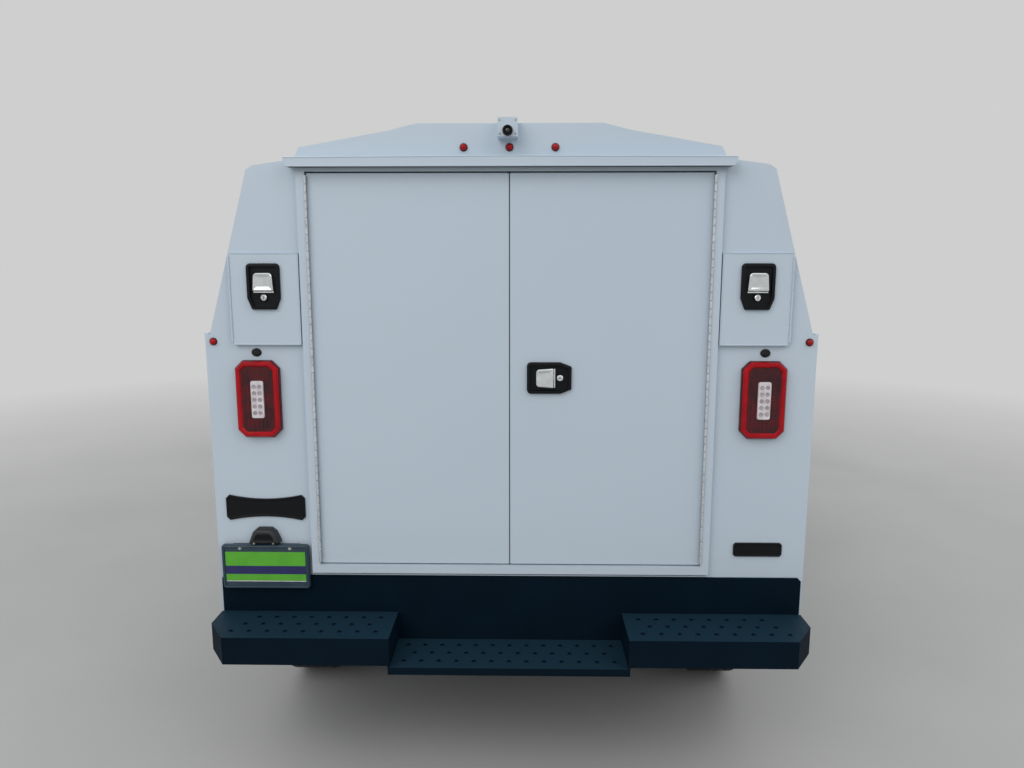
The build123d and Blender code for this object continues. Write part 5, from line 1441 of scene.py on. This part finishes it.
# centre stack: blank head unit, three climate knobs, a row of switches
dash.at(dash_frame(0, 1090))
dash.layers(rectangle((-100, -2), (100, 32), 6), [(-2, 0), (3, 0), (4.5, 1.5), (4.5, 4)], LATCH)
dash.layers(rectangle((-58, 4), (58, 26), 3), [(3, 0), (5, 0), (5.6, 0.8)], MIRROR_GLASS)
for x in (-80, 80):
    dash.turned([(4, 10), (14, 9.4), (15.6, 8), (15.6, 0)], PLASTIC, (x, 15, 0), sides=20)
for x in (-66, 0, 66):
    dash.turned([(-2, 21), (2, 21), (3.4, 19), (3.4, 15)], PLASTIC, (x, -26, 0), sides=24)
    dash.turned([(2, 14), (15, 12.4), (17, 10.8), (17, 0)], GREY, (x, -26, 0), sides=20)
    dash.bar((x - 1.2, -25, 16.6), (x + 1.2, -13, 17.8), WHITE_LENS, 0.4)
# lid of the glove box
dash.at(dash_frame(430, 1090))
dash.layers(rectangle((-170, -24), (170, 34), 14), [(-1, 0), (4, 0), (6, 2), (6.6, 9)], TRIM)
dash.layers(rectangle((-34, 18), (34, 30), 5), [(5, 0), (10, 1), (11, 4)], PLASTIC)
# instrument hood: a shade over a sloping cluster with six blank dials
NEEDLE_AT_REST = math.radians(215)
origin, normal = touch("dashboard", (WHEEL_CENTRE.x, 600, 1212), AHEAD)
cluster = facing(origin, RIGHT, (0, -0.90, 0.44))
dash.at(cluster)
shade = symmetric([(180, -42), (172, 40), (120, 58)], [10, 22, 40])
dash.layers(shade, [(-40, 0), (46, 0), (50, 2), (51, 6), (48, 9), (10, 12), (6, 14)], TRIM)
dash.layers(shade, [(4, 13), (8, 14), (8.4, 16)], LATCH)
for x, y, radius in ((-62, 6, 40), (62, 6, 40), (0, 24, 17), (0, -14, 17), (-134, 4, 22), (134, 4, 22)):
    dash.turned([(7, radius), (10.5, radius), (11.5, radius - 1.5), (9.4, radius - 3), (9.4, 0)], GREY,
                (x, y, 0), sides=32)
    for k in range(9):
        angle = math.radians(225 - 33.75 * k)
        tick = [Vector((x + math.cos(angle) * (radius - far), y + math.sin(angle) * (radius - far), 9.9))
                for far in (5, 5 + radius * 0.16)]
        dash.tube(tick, 0.7, WHITE_LENS, 5)
    needle = Vector((math.cos(NEEDLE_AT_REST), math.sin(NEEDLE_AT_REST))) * radius * 0.72
    dash.tube([(x, y, 12.5), (x + needle.x, y + needle.y, 11.5)], 1.1, AMBER, 6)
    dash.turned([(9, 4), (14, 4), (15, 3), (15, 0)], LATCH, (x, y, 0), sides=12)
# demister slots along the top of the dashboard, by the screen
dash.at(Matrix())
for x in range(-780, 781, 60):
    place, _ = touch("dashboard", (x, 1560, 2000), DOWN)
    if place is not None:
        dash.bar((x - 24, 1552, place.z - 1), (x + 24, 1562, place.z + 1.6), SEAL, 0.6)
dash.make("dashboard_fittings", "root", "cab_trim")

# column shroud, stalks and key lock
column = Shape()
back_place = WHEEL_CENTRE - WHEEL_AXIS * 52
column.at(facing(back_place, RIGHT, WHEEL_AXIS))
column.layers(rectangle((-44, -40), (44, 44), 18), [(-120, 4), (-20, 0), (-6, 2), (0, 9), (0, 14)], TRIM)
for hand, rise_up in ((-1, 10), (1, 2)):
    stalk = [(hand * 40, rise_up, -22), (hand * 92, rise_up + 8, -20), (hand * 150, rise_up + 16, -10)]
    column.tube(stalk, 4.6, LATCH, 10)
    column.tube([(hand * 146, rise_up + 15, -11), (hand * 186, rise_up + 21, -5)], 7.4, PLASTIC, 12)
column.turned([(-2, 12), (6, 12), (8, 10), (8, 0)], ZINC, (46, -16, -60), RIGHT, 16)
column.make("column_shroud", "root", "cab_trim")

# steering wheel: centre pad with a seam, and stitches inside the rim
RIM_INSIDE = 172.2
wheel = Shape().at(facing(WHEEL_CENTRE, RIGHT, WHEEL_AXIS))
boss = symmetric([(62, -50), (78, 24), (48, 46)], [22, 20, 20])
wheel.layers(boss, [(-16, 6), (4, 0), (14, 2), (20, 8), (23, 18), (24, 32)], TRIM)
wheel.layers(boss, [(13, 9.4), (15.6, 10.2), (15.6, 11.6), (13, 12.4)], SEAL, closed=True)
for x, y in circle(RIM_INSIDE, 60):
    wheel.tube([(x, y, -3.2), (x, y, 3.2)], 0.9, GREY, 5)
wheel.make("steering_wheel_pad", "steering_wheel", "cab_trim")

# pedals with ribbed rubbers, hung from the toe board
pedals = Shape()
for x, z, half_x, half_z, arm_top in ((-500, 792, 40, 26, 905), (-392, 778, 24, 52, 880)):
    pedals.at(facing((x, 1160, z), RIGHT, (0, -0.86, 0.51)))
    pedals.layers(oblong(half_x, half_z, 9), [(-4, 0), (0, 0)], CHASSIS)
    pedals.layers(rectangle((-half_x - 2, -half_z - 2), (half_x + 2, half_z + 2), 10),
                  [(-1, 0), (6, 0), (8, 2), (8, 4)], SEAL)
    for k in range(int(half_z * 2 / 10) - 1):
        up = -half_z + 8 + k * 10
        pedals.bar((-half_x + 4, up, 7), (half_x - 4, up + 4.4, 10), SEAL, 0.8)
    pedals.at(Matrix())
    arm = [(x, 1164, z + 4), (x, 1196, z + 40), (x, 1246, arm_top), (x, 1288, arm_top + 20)]
    pedals.tube(arm, 0, CHASSIS, section=((-5, -10), (5, -10), (5, 10), (-5, 10)))
pedals.make("pedals", "root", "chassis")

# floor mats and selector lever
mats = Shape()
for side, s in SIDES:
    low_x, high_x = sorted((s * 372, s * 876))
    mats.bar((low_x, 1000, 660), (high_x, 1262, 668), SEAL, 2.5, 24.0)
    for k in range(int((high_x - low_x - 60) / 22)):
        mats.bar((low_x + 36 + k * 22, 1026, 667), (low_x + 44 + k * 22, 1240, 670.5), SEAL, 1.0)
mats.tube([(-180, 1228, 1040), (-180, 1204, 1090), (-180, 1170, 1150)], 5.0, LATCH, 12)
mats.turned([(-6, 12), (6, 15), (26, 15), (36, 11), (40, 0)], PLASTIC, (-180, 1172, 1144),
            (0, -0.45, 0.89), 20)
mats.make("mats_and_selector", "root", "black_plastic")

# door trims: pad, armrest, pull, crank, speaker, pocket; they ride the doors
for side, s in SIDES:
    inside = Shape()
    middle_y = 800.0
    inside.at(facing((s * 915, middle_y, 960), (0, -s, 0), (-s, 0, 0)))
    field = ((-356, -232), (382, -232), (382, 300), (-392, 300), (-392, -60))
    inside.layers(Outline([(s * along, up) for along, up in field], 26.0),
                  [(-2, 0), (5, 0), (8, 3), (9, 9)], TRIM)
    inside.layers(rectangle((-230, 60), (250, 118), 22), [(6, 0), (34, 3), (52, 5), (60, 12), (62, 22)],
                  TRIM)
    inside.layers(rectangle((-336 if s > 0 else -60, -196), (60 if s > 0 else 336, -70), 18),
                  [(6, 0), (20, 2), (26, 4), (27, 8), (22, 12), (12, 14)], PLASTIC)
    inside.layers(Oval(68, 68, 36, (s * 236, -124)), [(6, 0), (12, 1), (15, 4), (13, 9), (11, 12)], PLASTIC)
    for ring in range(1, 5):
        inside.layers(Oval(ring * 12, ring * 12, 28, (s * 236, -124)),
                      [(10, 0), (13.4, 0.6), (13.4, 3.6), (10, 4.2)], LATCH, closed=True)
    inside.layers(rectangle((s * 250 - 52, 168), (s * 250 + 52, 214), 14),
                  [(6, 0), (12, 1), (12, 6), (7, 9)], LATCH)
    inside.layers(rectangle((s * 250 - 40, 180), (s * 250 + 26, 200), 7), [(7, 0), (14, 1), (16, 4)], CHROME)
    inside.turned([(8, 13), (26, 11), (28, 9), (28, 0)], LATCH, (s * 120, 10, 0), sides=20)
    inside.tube([(s * 120, 10, 26), (s * 60, 34, 30)], 6.0, LATCH, 10)
    inside.turned([(24, 9), (50, 10.5), (54, 8), (54, 0)], PLASTIC, (s * 60, 34, 0), sides=18)
    inside.make(f"door_inner_trim_{side}", f"cab_door_{side}", "cab_trim")

# headliner, visors, dome lamp and mirror
lining = Shape()
for k in range(7):
    x = -540 + k * 180
    lining.bar((x - 3, 330, 2031), (x + 3, 1010, 2038), LINER, 1.5)
lining.layers(rectangle((-630, 305), (630, 1030), 60, 6), [(2034, 0), (2039.5, 0)], LINER)
for s in (-1, 1):
    lining.at(facing((s * 380, 1020, 1982), RIGHT, (0, -0.52, -0.85)))
    lining.layers(oblong(215, 76, 26), [(-9, 6), (-5, 0), (5, 0), (9, 6)], LINER)
    lining.at(Matrix())
    lining.tube([(s * 582, 1016, 2036), (s * 590, 1016, 2018), (s * 190, 1016, 2018), (s * 182, 1016, 2036)],
                4.0, ZINC, 10)
lining.at(facing((0, 700, 2034), RIGHT, DOWN))
lining.layers(oblong(60, 34, 14), [(0, 0), (10, 0), (16, 5), (17, 12)], WHITE_LENS)
lining.at(Matrix())
screen_spot, screen_normal = from_front("windscreen", 0, 1850)
lining.tube([screen_spot - screen_normal * 9, screen_spot + Vector((0, -62, -28))], 5.0, LATCH, 10)
lining.at(facing(screen_spot + Vector((0, -74, -36)), RIGHT, (0, -1, 0.06)))
lining.layers(oblong(122, 30, 24), [(-14, 10), (-6, 0), (4, 0), (5, 2), (4, 4)], LATCH)
lining.layers(oblong(117, 25, 20), [(2, 0), (4.6, 0), (4.8, 0.6)], MIRROR_GLASS)
lining.at(Matrix())
lining.make("headliner_and_visors", "root", "cab_trim")


# ---- load space -------------------------------------------------------------
FLOOR_LOW, FLOOR_HIGH = span("load_floor")
FLOOR_Z = FLOOR_HIGH.z
INNER_X, WALL_TOP = 699.0, 2110
BULK_Y = span("bulkhead")[0].y
LASHING_RING_X, LASHING_RING_YS = 610, (-2200, -1500, -800, 0)
LASHING_RAIL_ZS, RAIL_SLOT_PITCH = (1120, 1500), 106
POST_YS = (-2300, -1560, -820, -80)
BOW_YS, LAMP_YS = (-2250, -1690, -1130, -570, -20), (-1970, -850)
hold = Shape()


def tread_lozenge(shape, x, y, z, turn):
    """One raised bar of the tread plate."""
    cos, sin = math.cos(turn), math.sin(turn)
    rings = []
    for half_long, half_wide, up in ((12, 3.4, -0.2), (9, 2.0, 1.2)):
        corners = ((-half_long, 0), (0, -half_wide), (half_long, 0), (0, half_wide))
        rings.append([(x + cos * a - sin * b, y + sin * a + cos * b, z + up) for a, b in corners])
    shape.loft(rings, FLOOR_PLATE)


for row in range(36):
    for column in range(18):
        x = -646 + column * 76
        y = FLOOR_LOW.y + 96 + row * 72
        if y < BULK_Y - 30:
            tread_lozenge(hold, x, y, FLOOR_Z, math.radians(45))
            tread_lozenge(hold, x + 38, y + 36, FLOOR_Z, math.radians(-45))
hold.bar((-640, FLOOR_LOW.y + 56, FLOOR_Z - 1), (640, FLOOR_LOW.y + 92, FLOOR_Z + 3.5), ZINC, 1.2)
for x in range(-600, 601, 120):
    rivet(hold, (x, FLOOR_LOW.y + 74, FLOOR_Z + 3.5), UP, 4.5, ZINC)
# recessed lashing rings
for s in (-1, 1):
    for y in LASHING_RING_YS:
        hold.at(Matrix.Translation((s * LASHING_RING_X, y, FLOOR_Z)))
        hold.layers(oblong(44, 34, 10), [(-0.5, 0), (2, 0), (3, 1), (2.6, 5)], ZINC)
        hold.tube([Vector((23 * math.cos(a), 4 + 20 * math.sin(a), 7 + 2 * math.sin(a)))
                   for a in turns(20)], 4.0, ZINC, 10, closed=True)
        hold.bar((-30, -22, 2), (30, -10, 10), ZINC, 2.0)
        hold.at(Matrix())
hold.make("load_floor_fittings", "root", "floor_plate")

walls = Shape()
for s in (-1, 1):
    # two slotted lashing rails and four vertical posts on each wall
    for z in LASHING_RAIL_ZS:
        rail_x = s * (INNER_X - 12)
        walls.bar((s * INNER_X, FLOOR_LOW.y + 130, z - 62), (rail_x, BULK_Y - 20, z + 62), ZINC, 2.0)
        for k in range(24):
            y = FLOOR_LOW.y + 190 + k * RAIL_SLOT_PITCH
            if y < BULK_Y - 60:
                walls.at(facing((rail_x, y, z), (0, -s, 0), (-s, 0, 0)))
                walls.layers(oblong(11, 24, 6), [(-0.4, 0), (1.0, 0.4), (1.0, 2.4), (-0.4, 2.8)],
                             ZINC, closed=True)
                walls.layers(oblong(8, 21, 4), [(0.0, 0), (0.3, 0)], SEAL)
                walls.at(Matrix())
    for y in POST_YS:
        walls.bar((s * INNER_X, y - 24, FLOOR_Z + 1), (s * (INNER_X - 22), y + 24, WALL_TOP), BODY, 3.0)
walls.make("load_wall_rails", "root", "floor_plate")

# roof bows and lamps under the raised roof
BOW_SECTION = ((-26, 0), (-14, 20), (14, 20), (26, 0))
bows = Shape()
for y in BOW_YS:
    rings = []
    for x in range(-660, 661, 60):
        place, _ = touch("roof_cap", (x, y, 1900), UP)
        if place is not None and place.z > 2100:
            z = place.z - 1
            rings.append([(x, y + across, z - drop) for across, drop in BOW_SECTION])
    if len(rings) > 2:
        bows.loft(rings, BODY)
for y in LAMP_YS:
    place, _ = touch("roof_cap", (0, y, 1900), UP)
    bows.at(facing((0, y, place.z), RIGHT, DOWN))
    bows.layers(oblong(210, 40, 12), [(-1, 0), (10, 0), (14, 3), (14, 8)], GREY)
    bows.layers(oblong(198, 30, 8), [(12, 0), (19, 4), (20, 12)], WHITE_LENS)
    bows.at(Matrix())
bows.make("roof_bows_and_lamps", "root", "body_paint")

# inside of the rear doors: stiffening pans, latch box with rods and a release, top and bottom keepers
for side, s in SIDES:
    low, high = span(f"rear_door_{side}")
    inner = Shape().at(facing(((low.x + high.x) / 2, high.y, (low.z + high.z) / 2), LEFT, AHEAD))
    half = Vector(((high.x - low.x) / 2, (high.z - low.z) / 2))
    for low_z, high_z in ((-half.y + 60, -40), (40, half.y - 60)):
        inner.layers(rectangle((-half.x + 60, low_z), (half.x - 60, high_z), 40, 6),
                     [(-0.5, 0), (1.6, 0), (4.4, 4), (4.4, 14), (1.2, 19)], BODY)
    inner.layers(rectangle((-half.x + 10, -half.y + 10), (half.x - 10, half.y - 10), 12),
                 [(-0.5, 0), (4, 1), (5.5, 4), (4, 8), (-0.5, 9)], SEAL, closed=True)
    if side == "right":
        inner.layers(rectangle((half.x - 210, -60), (half.x - 50, 90), 14),
                     [(0, 0), (22, 0), (26, 4), (26, 12)], ZINC)
        inner.turned([(24, 16), (38, 13), (42, 10), (42, 0)], LATCH, (half.x - 130, 30, 0), sides=20)
        for hand in (-1, 1):
            rod_x, guide_y = half.x - 64, hand * (half.y - 40)
            inner.tube([(rod_x, 15 + hand * 60, 12), (rod_x, hand * (half.y - 26), 12)], 5.0, ZINC, 10)
            inner.bar((rod_x - 20, guide_y - 14, 0), (rod_x + 20, guide_y + 14, 20), ZINC, 2.0)
    inner.make(f"rear_door_inside_{side}", f"rear_door_{side}", "body_paint")

# locker shelves' lips and dividers, from each locker's two ends and its shelves' heights
LOCKER_SHELVES = ((-470, 238, (860, 1100, 1330)), (-1260, -506, (860, 1100, 1330)),
                  (-2420, -1300, (1120, 1330)))
racks = Shape()
for s in (-1, 1):
    for low_y, high_y, heights in LOCKER_SHELVES:
        for z in heights:
            racks.bar((s * 722, low_y, z), (s * 978, high_y, z + 3), BODY, 0.8)
            racks.bar((s * 976, low_y, z - 2), (s * 980, high_y, z + 26), BODY, 1.0)
            for k in range(1, int((high_y - low_y) / 180) + 1):
                y = low_y + k * 180
                if y < high_y - 40:
                    racks.bar((s * 730, y, z + 2), (s * 974, y + 2.4, z + 62), BODY, 0.8)
racks.make("locker_shelves", "root", "body_paint")

# ---- under the van ----------------------------------------------------------
under = Shape()
COIL_TURNS, COIL_STEPS = 6.5, 130
for s in (-1, 1):
    # front coil springs, with the dampers inside them
    centre = Vector((s * 560, FRONT_AXLE.y, 0))
    coil = []
    for k in range(COIL_STEPS + 1):
        angle = 2 * math.pi * COIL_TURNS * k / COIL_STEPS
        spoke = Vector((56 * math.cos(angle), 56 * math.sin(angle), 420 + 190 * k / COIL_STEPS))
        coil.append(centre + spoke)
    under.tube(coil, 8.0, CHASSIS, 10)
    under.tube([centre + Vector((0, 0, 380)), centre + Vector((0, 0, 520))], 22.0, ZINC, 16)
    under.tube([centre + Vector((0, 0, 515)), centre + Vector((0, 0, 626))], 9.0, CHROME, 12)
    # rear dampers
    under.tube([(s * 420, REAR_AXLE.y + 70, 330), (s * 396, REAR_AXLE.y + 250, 470)], 24.0, CHASSIS, 16)
    under.tube([(s * 396, REAR_AXLE.y + 250, 470), (s * 380, REAR_AXLE.y + 350, 548)], 11.0, CHROME, 12)
# bolts of the axle's cover
for x, up in circle(120, 10):
    rivet(under, (x, REAR_AXLE.y - 172, REAR_AXLE.z + up), BACK, 8.0, ZINC)
# brake pipe along the left rail, with clips, and the wiring loom on the right
pipe = [(-440, 1450, 640), (-440, 900, 622), (-440, 100, 612), (-440, -900, 612), (-440, -1500, 640)]
under.tube(pipe, 3.2, ZINC, 8)
under.tube([(x * -1.0, y, z + 14) for x, y, z in pipe], 9.0, SEAL, 10)
for y in range(-1400, 1401, 280):
    for s in (-1, 1):
        under.bar((s * 431, y - 9, 606), (s * 452, y + 9, 640), ZINC, 2.0)
# tank straps
for y in (-600, -100):
    strap = [(-448, y, 562), (-448, y, 318), (-470, y, 297), (-672, y, 297), (-693, y, 318), (-693, y, 562)]
    under.tube(strap, 0, ZINC, section=((-1.2, -17), (1.2, -17), (1.2, 17), (-1.2, 17)))
under.make("underbody_fittings", "root", "chassis")

# ---- engine bay -------------------------------------------------------------
bay = Shape()
# battery with its terminals and leads
bay.bar((430, 1900, 800), (610, 2150, 968), LATCH, 8.0, 8.0)
bay.bar((436, 1906, 966), (604, 2144, 984), PLASTIC, 6.0, 8.0)
for x, paint in ((470, RED), (570, SEAL)):
    bay.turned([(0, 9), (16, 8), (18, 6), (18, 0)], ZINC, (x, 1936, 984), UP, 16)
    bay.bar((x - 16, 1918, 986), (x + 16, 1956, 1000), paint, 4.0)
    lead = ((1.0, 1946, 992), (1.0, 1870, 988), (0.93, 1760, 955), (0.88, 1680, 932), (0.87, 1617, 928))
    bay.tube([(x * share, y, z) for share, y, z in lead], 7.0, paint, 10)
# air cleaner with its duct
bay.turned([(0, 150), (10, 158), (58, 158), (66, 150), (72, 140), (74, 0)], PLASTIC, (-470, 1960, 800),
           UP, 40)
bay.tube([(-470, 2080, 840), (-450, 2200, 850), (-400, 2300, 850)], 34.0, PLASTIC, 18)
DUCT = ((-340, 1930, 846), (-240, 1910, 880), (-150, 1880, 930))
bay.tube(DUCT, 36.0, SEAL, 18)
for share in even(0, 1, 6):
    spot = Vector(DUCT[0]).lerp(Vector(DUCT[1]), share)
    bay.turned([(-3, 36), (-2, 40), (2, 40), (3, 36)], SEAL, spot, (0.95, -0.19, 0.32), 18)
# expansion bottle, brake master cylinder with its reservoir
bay.bar((640, 1880, 850), (760, 2040, 1010), WHITE_LENS, 16.0, 20.0)
bay.turned([(0, 22), (16, 22), (20, 18), (20, 0)], LATCH, (700, 1960, 1008), UP, 20)
bay.turned([(0, 112), (24, 118), (60, 112), (84, 70), (88, 30)], LATCH, (-560, 1700, 1010), AHEAD, 32)
bay.tube([(-560, 1786, 1010), (-560, 1900, 1010)], 24.0, CAST, 18)
bay.bar((-590, 1800, 1030), (-530, 1890, 1076), WHITE_LENS, 8.0, 10.0)
bay.turned([(0, 19), (10, 19), (12, 16), (12, 0)], LATCH, (-560, 1845, 1076), UP, 20)
# fan in its shroud, on a shaft behind the radiator
FAN = Vector((0, 2246, 760))
bay.turned([(0, 232), (4, 240), (70, 240), (74, 232), (70, 226), (4, 226)], PLASTIC, FAN, AHEAD, 48)
for angle in turns(7):
    rings = []
    for radius, twist in ((44, 0.60), (120, 0.42), (214, 0.26)):
        spot = FAN + Vector((radius * math.cos(angle), 36, radius * math.sin(angle)))
        flat = math.cos(twist)
        chord = Vector((-math.sin(angle) * flat, math.sin(twist), math.cos(angle) * flat))
        thick = chord.cross(Vector((math.cos(angle), 0, math.sin(angle)))).normalized() * 1.6
        rings.append([spot - chord * 34 - thick, spot + chord * 34 - thick, spot + chord * 34 + thick,
                      spot - chord * 34 + thick])
    bay.loft(rings, LATCH)
bay.turned([(0, 40), (20, 50), (46, 50), (60, 34), (66, 0)], CAST, FAN, AHEAD, 28)
bay.tube([(0, 2030, FAN.z), (0, 2250, FAN.z)], 20.0, CAST, 16)
# radiator hoses and the hood's prop
bay.tube([(250, 2340, 900), (250, 2230, 920), (180, 2120, 900), (110, 2040, 860)], 22.0, SEAL, 16)
bay.tube([(-280, 2340, 660), (-260, 2230, 620), (-170, 2120, 610), (-90, 2040, 640)], 22.0, SEAL, 16)
bay.tube([(640, 2300, 950), (100, 2306, 968), (-560, 2300, 962)], 4.5, ZINC, 8)
for s in (-1, 1):
    # splash shields between the engine and the wheel tubs
    bay.bar((s * 300, 1626, 707), (s * 534, 1990, 711), PLASTIC, 1.4)
    # lower dash panel down to the frame
    bay.bar((s * 300, 1624, 706), (s * 560, 1629, 876), CHASSIS, 1.4)
    # ribs of the shields
    for y in (1730, 1815, 1900):
        bay.bar((s * 314, y - 6, 710), (s * 520, y + 6, 714), PLASTIC, 1.4)
bay.make("engine_bay_fittings", "root", "chassis")

# inner sill below the cab floor, closed behind the lower half of each door, with a ribbed tread on top
for side, s in SIDES:
    sill = Shape()
    sill.bar((s * 902, 380, 448), (s * 909, 1300, 652), CAB, 1.0)
    sill.bar((s * 879, 420, 652), (s * 909, 1240, 664), PLASTIC, 2.0)
    for x in (885.5, 894.5, 903.5):
        sill.bar((s * x - 2.2, 440, 663), (s * x + 2.2, 1220, 666.4), PLASTIC, 0.8)
    for y in (520, 760, 1000, 1200):
        sill.at(facing((s * 909, y, 552), (0, s, 0), (s, 0, 0)))
        sill.layers(oblong(70, 52, 22), [(-0.4, 0), (1.2, 0.8), (1.2, 3.4), (-0.4, 4.4)], CAB,
                    closed=True)
        sill.at(Matrix())
    sill.make(f"cab_sill_{side}", "root", "cab_paint")

# stiffening frame and striker under the hood
lining = Shape()
for low_x, high_x in ((-700, -640), (-30, 30), (640, 700)):
    rings = []
    for k in range(10):
        y = 1880 + k * 62
        cell = []
        for x in (low_x, (low_x * 3 + high_x) / 4, (low_x + high_x * 3) / 4, high_x):
            place, _ = touch("hood", (x, y, 500), UP)
            drop = 1 if x in (low_x, high_x) else 14
            if place is not None:
                cell.append((x, y, place.z + 1 - drop))
        if len(cell) == 4:
            rings.append(cell)
    if len(rings) > 1:
        lining.loft(rings, CAB)
place, _ = touch("hood", (0, 2440, 500), UP)
striker = [(x, 2440, place.z - drop) for x, drop in ((-22, 0), (-22, 34), (22, 34), (22, 0))]
lining.tube(striker, 4.0, ZINC, 10)
lining.make("hood_inner_frame", "hood", "cab_paint")


# ---- floor, light and camera ------------------------------------------------
def soft_light(name, place, size, watts):
    data = bpy.data.lights.new(name, "AREA")
    data.shape, data.size, data.size_y = "RECTANGLE", size[0], size[1]
    data.energy = watts
    lamp = bpy.data.objects.new(name, data)
    lamp.location = place
    lamp.rotation_mode = "QUATERNION"
    lamp.rotation_quaternion = (Vector((0, 0, 1.0)) - Vector(place)).to_track_quat("-Z", "Y")
    bpy.context.scene.collection.objects.link(lamp)


soft_light("key_behind_left", (-5.5, -9.5, 7.5), (9.0, 7.0), 420.0)
soft_light("fill_behind_right", (7.5, -7.5, 7.5), (9.0, 7.0), 250.0)
soft_light("front_left", (-7.5, 9.5, 7.0), (9.0, 8.0), 250.0)
soft_light("front_right", (7.5, 9.5, 7.0), (9.0, 8.0), 250.0)
soft_light("overhead", (0.0, -0.5, 8.0), (9.0, 13.0), 190.0)

BACKDROP = srgb(206, 207, 206)
floor_finish = Finish("studio_floor", (178, 178, 176), 0.75, ((172, 172, 170), 0.8), (0.06, 2.0),
                      Specular_IOR_Level=0.25)
floor_finish.grain(40.0, 0.05)


def seen_ray(tree):
    """1 for what the camera, a reflection or glass sees, 0 for light on a surface."""
    path = tree.nodes.new("ShaderNodeLightPath")
    last = path.outputs["Is Camera Ray"]
    for name in ("Is Glossy Ray", "Is Transmission Ray"):
        either = tree.nodes.new("ShaderNodeMath")
        either.operation = "MAXIMUM"
        tree.links.new(last, either.inputs[0])
        tree.links.new(path.outputs[name], either.inputs[1])
        last = either.outputs[0]
    return last


# far from the van the floor takes the backdrop's colour, so that no horizon line shows
far = floor_finish.node("ShaderNodeVectorMath", operation="LENGTH")
floor_finish.link(floor_finish.places, far.inputs[0])
fade = floor_finish.ramp(far.outputs["Value"], 3.4, 9.0)
glow = floor_finish.node("ShaderNodeEmission")
glow.inputs["Color"].default_value = BACKDROP
join = floor_finish.node("ShaderNodeMixShader")
floor_finish.link(floor_finish.math("MULTIPLY", fade, seen_ray(floor_finish.tree)), join.inputs["Fac"])
floor_finish.link(floor_finish.shader.outputs["BSDF"], join.inputs[1])
floor_finish.link(glow.outputs["Emission"], join.inputs[2])
floor_finish.link(join.outputs["Shader"], floor_finish.tree.nodes["Material Output"].inputs["Surface"])
bpy.ops.mesh.primitive_circle_add(vertices=96, radius=45.0, fill_type="NGON", location=(0, 0, 0))
floor = bpy.context.active_object
floor.name = "studio_floor"
floor.data.materials.append(floor_finish.material)

world = bpy.data.worlds.new("studio")
bpy.context.scene.world = world
world.use_nodes = True
tree = world.node_tree
tree.nodes.clear()
light = tree.nodes.new("ShaderNodeBackground")
light.inputs["Color"].default_value = (0.94, 0.97, 1.0, 1.0)
light.inputs["Strength"].default_value = 0.50
pale = tree.nodes.new("ShaderNodeBackground")
pale.inputs["Color"].default_value = BACKDROP
pale.inputs["Strength"].default_value = 1.0
blend = tree.nodes.new("ShaderNodeMixShader")
tree.links.new(seen_ray(tree), blend.inputs["Fac"])
tree.links.new(light.outputs[0], blend.inputs[1])
tree.links.new(pale.outputs[0], blend.inputs[2])
out = tree.nodes.new("ShaderNodeOutputWorld")
tree.links.new(blend.outputs[0], out.inputs["Surface"])
bpy.context.scene.view_settings.view_transform = "Standard"

camera_data = bpy.data.cameras.new("camera")
camera_data.lens = 26.0
camera_data.sensor_width = 36.0
camera = bpy.data.objects.new("camera", camera_data)
camera.location = (0.048, -4.9755, 1.800)
camera.rotation_euler = (math.radians(81.05), 0.0, math.radians(0.91))
bpy.context.scene.collection.objects.link(camera)
bpy.context.scene.camera = camera
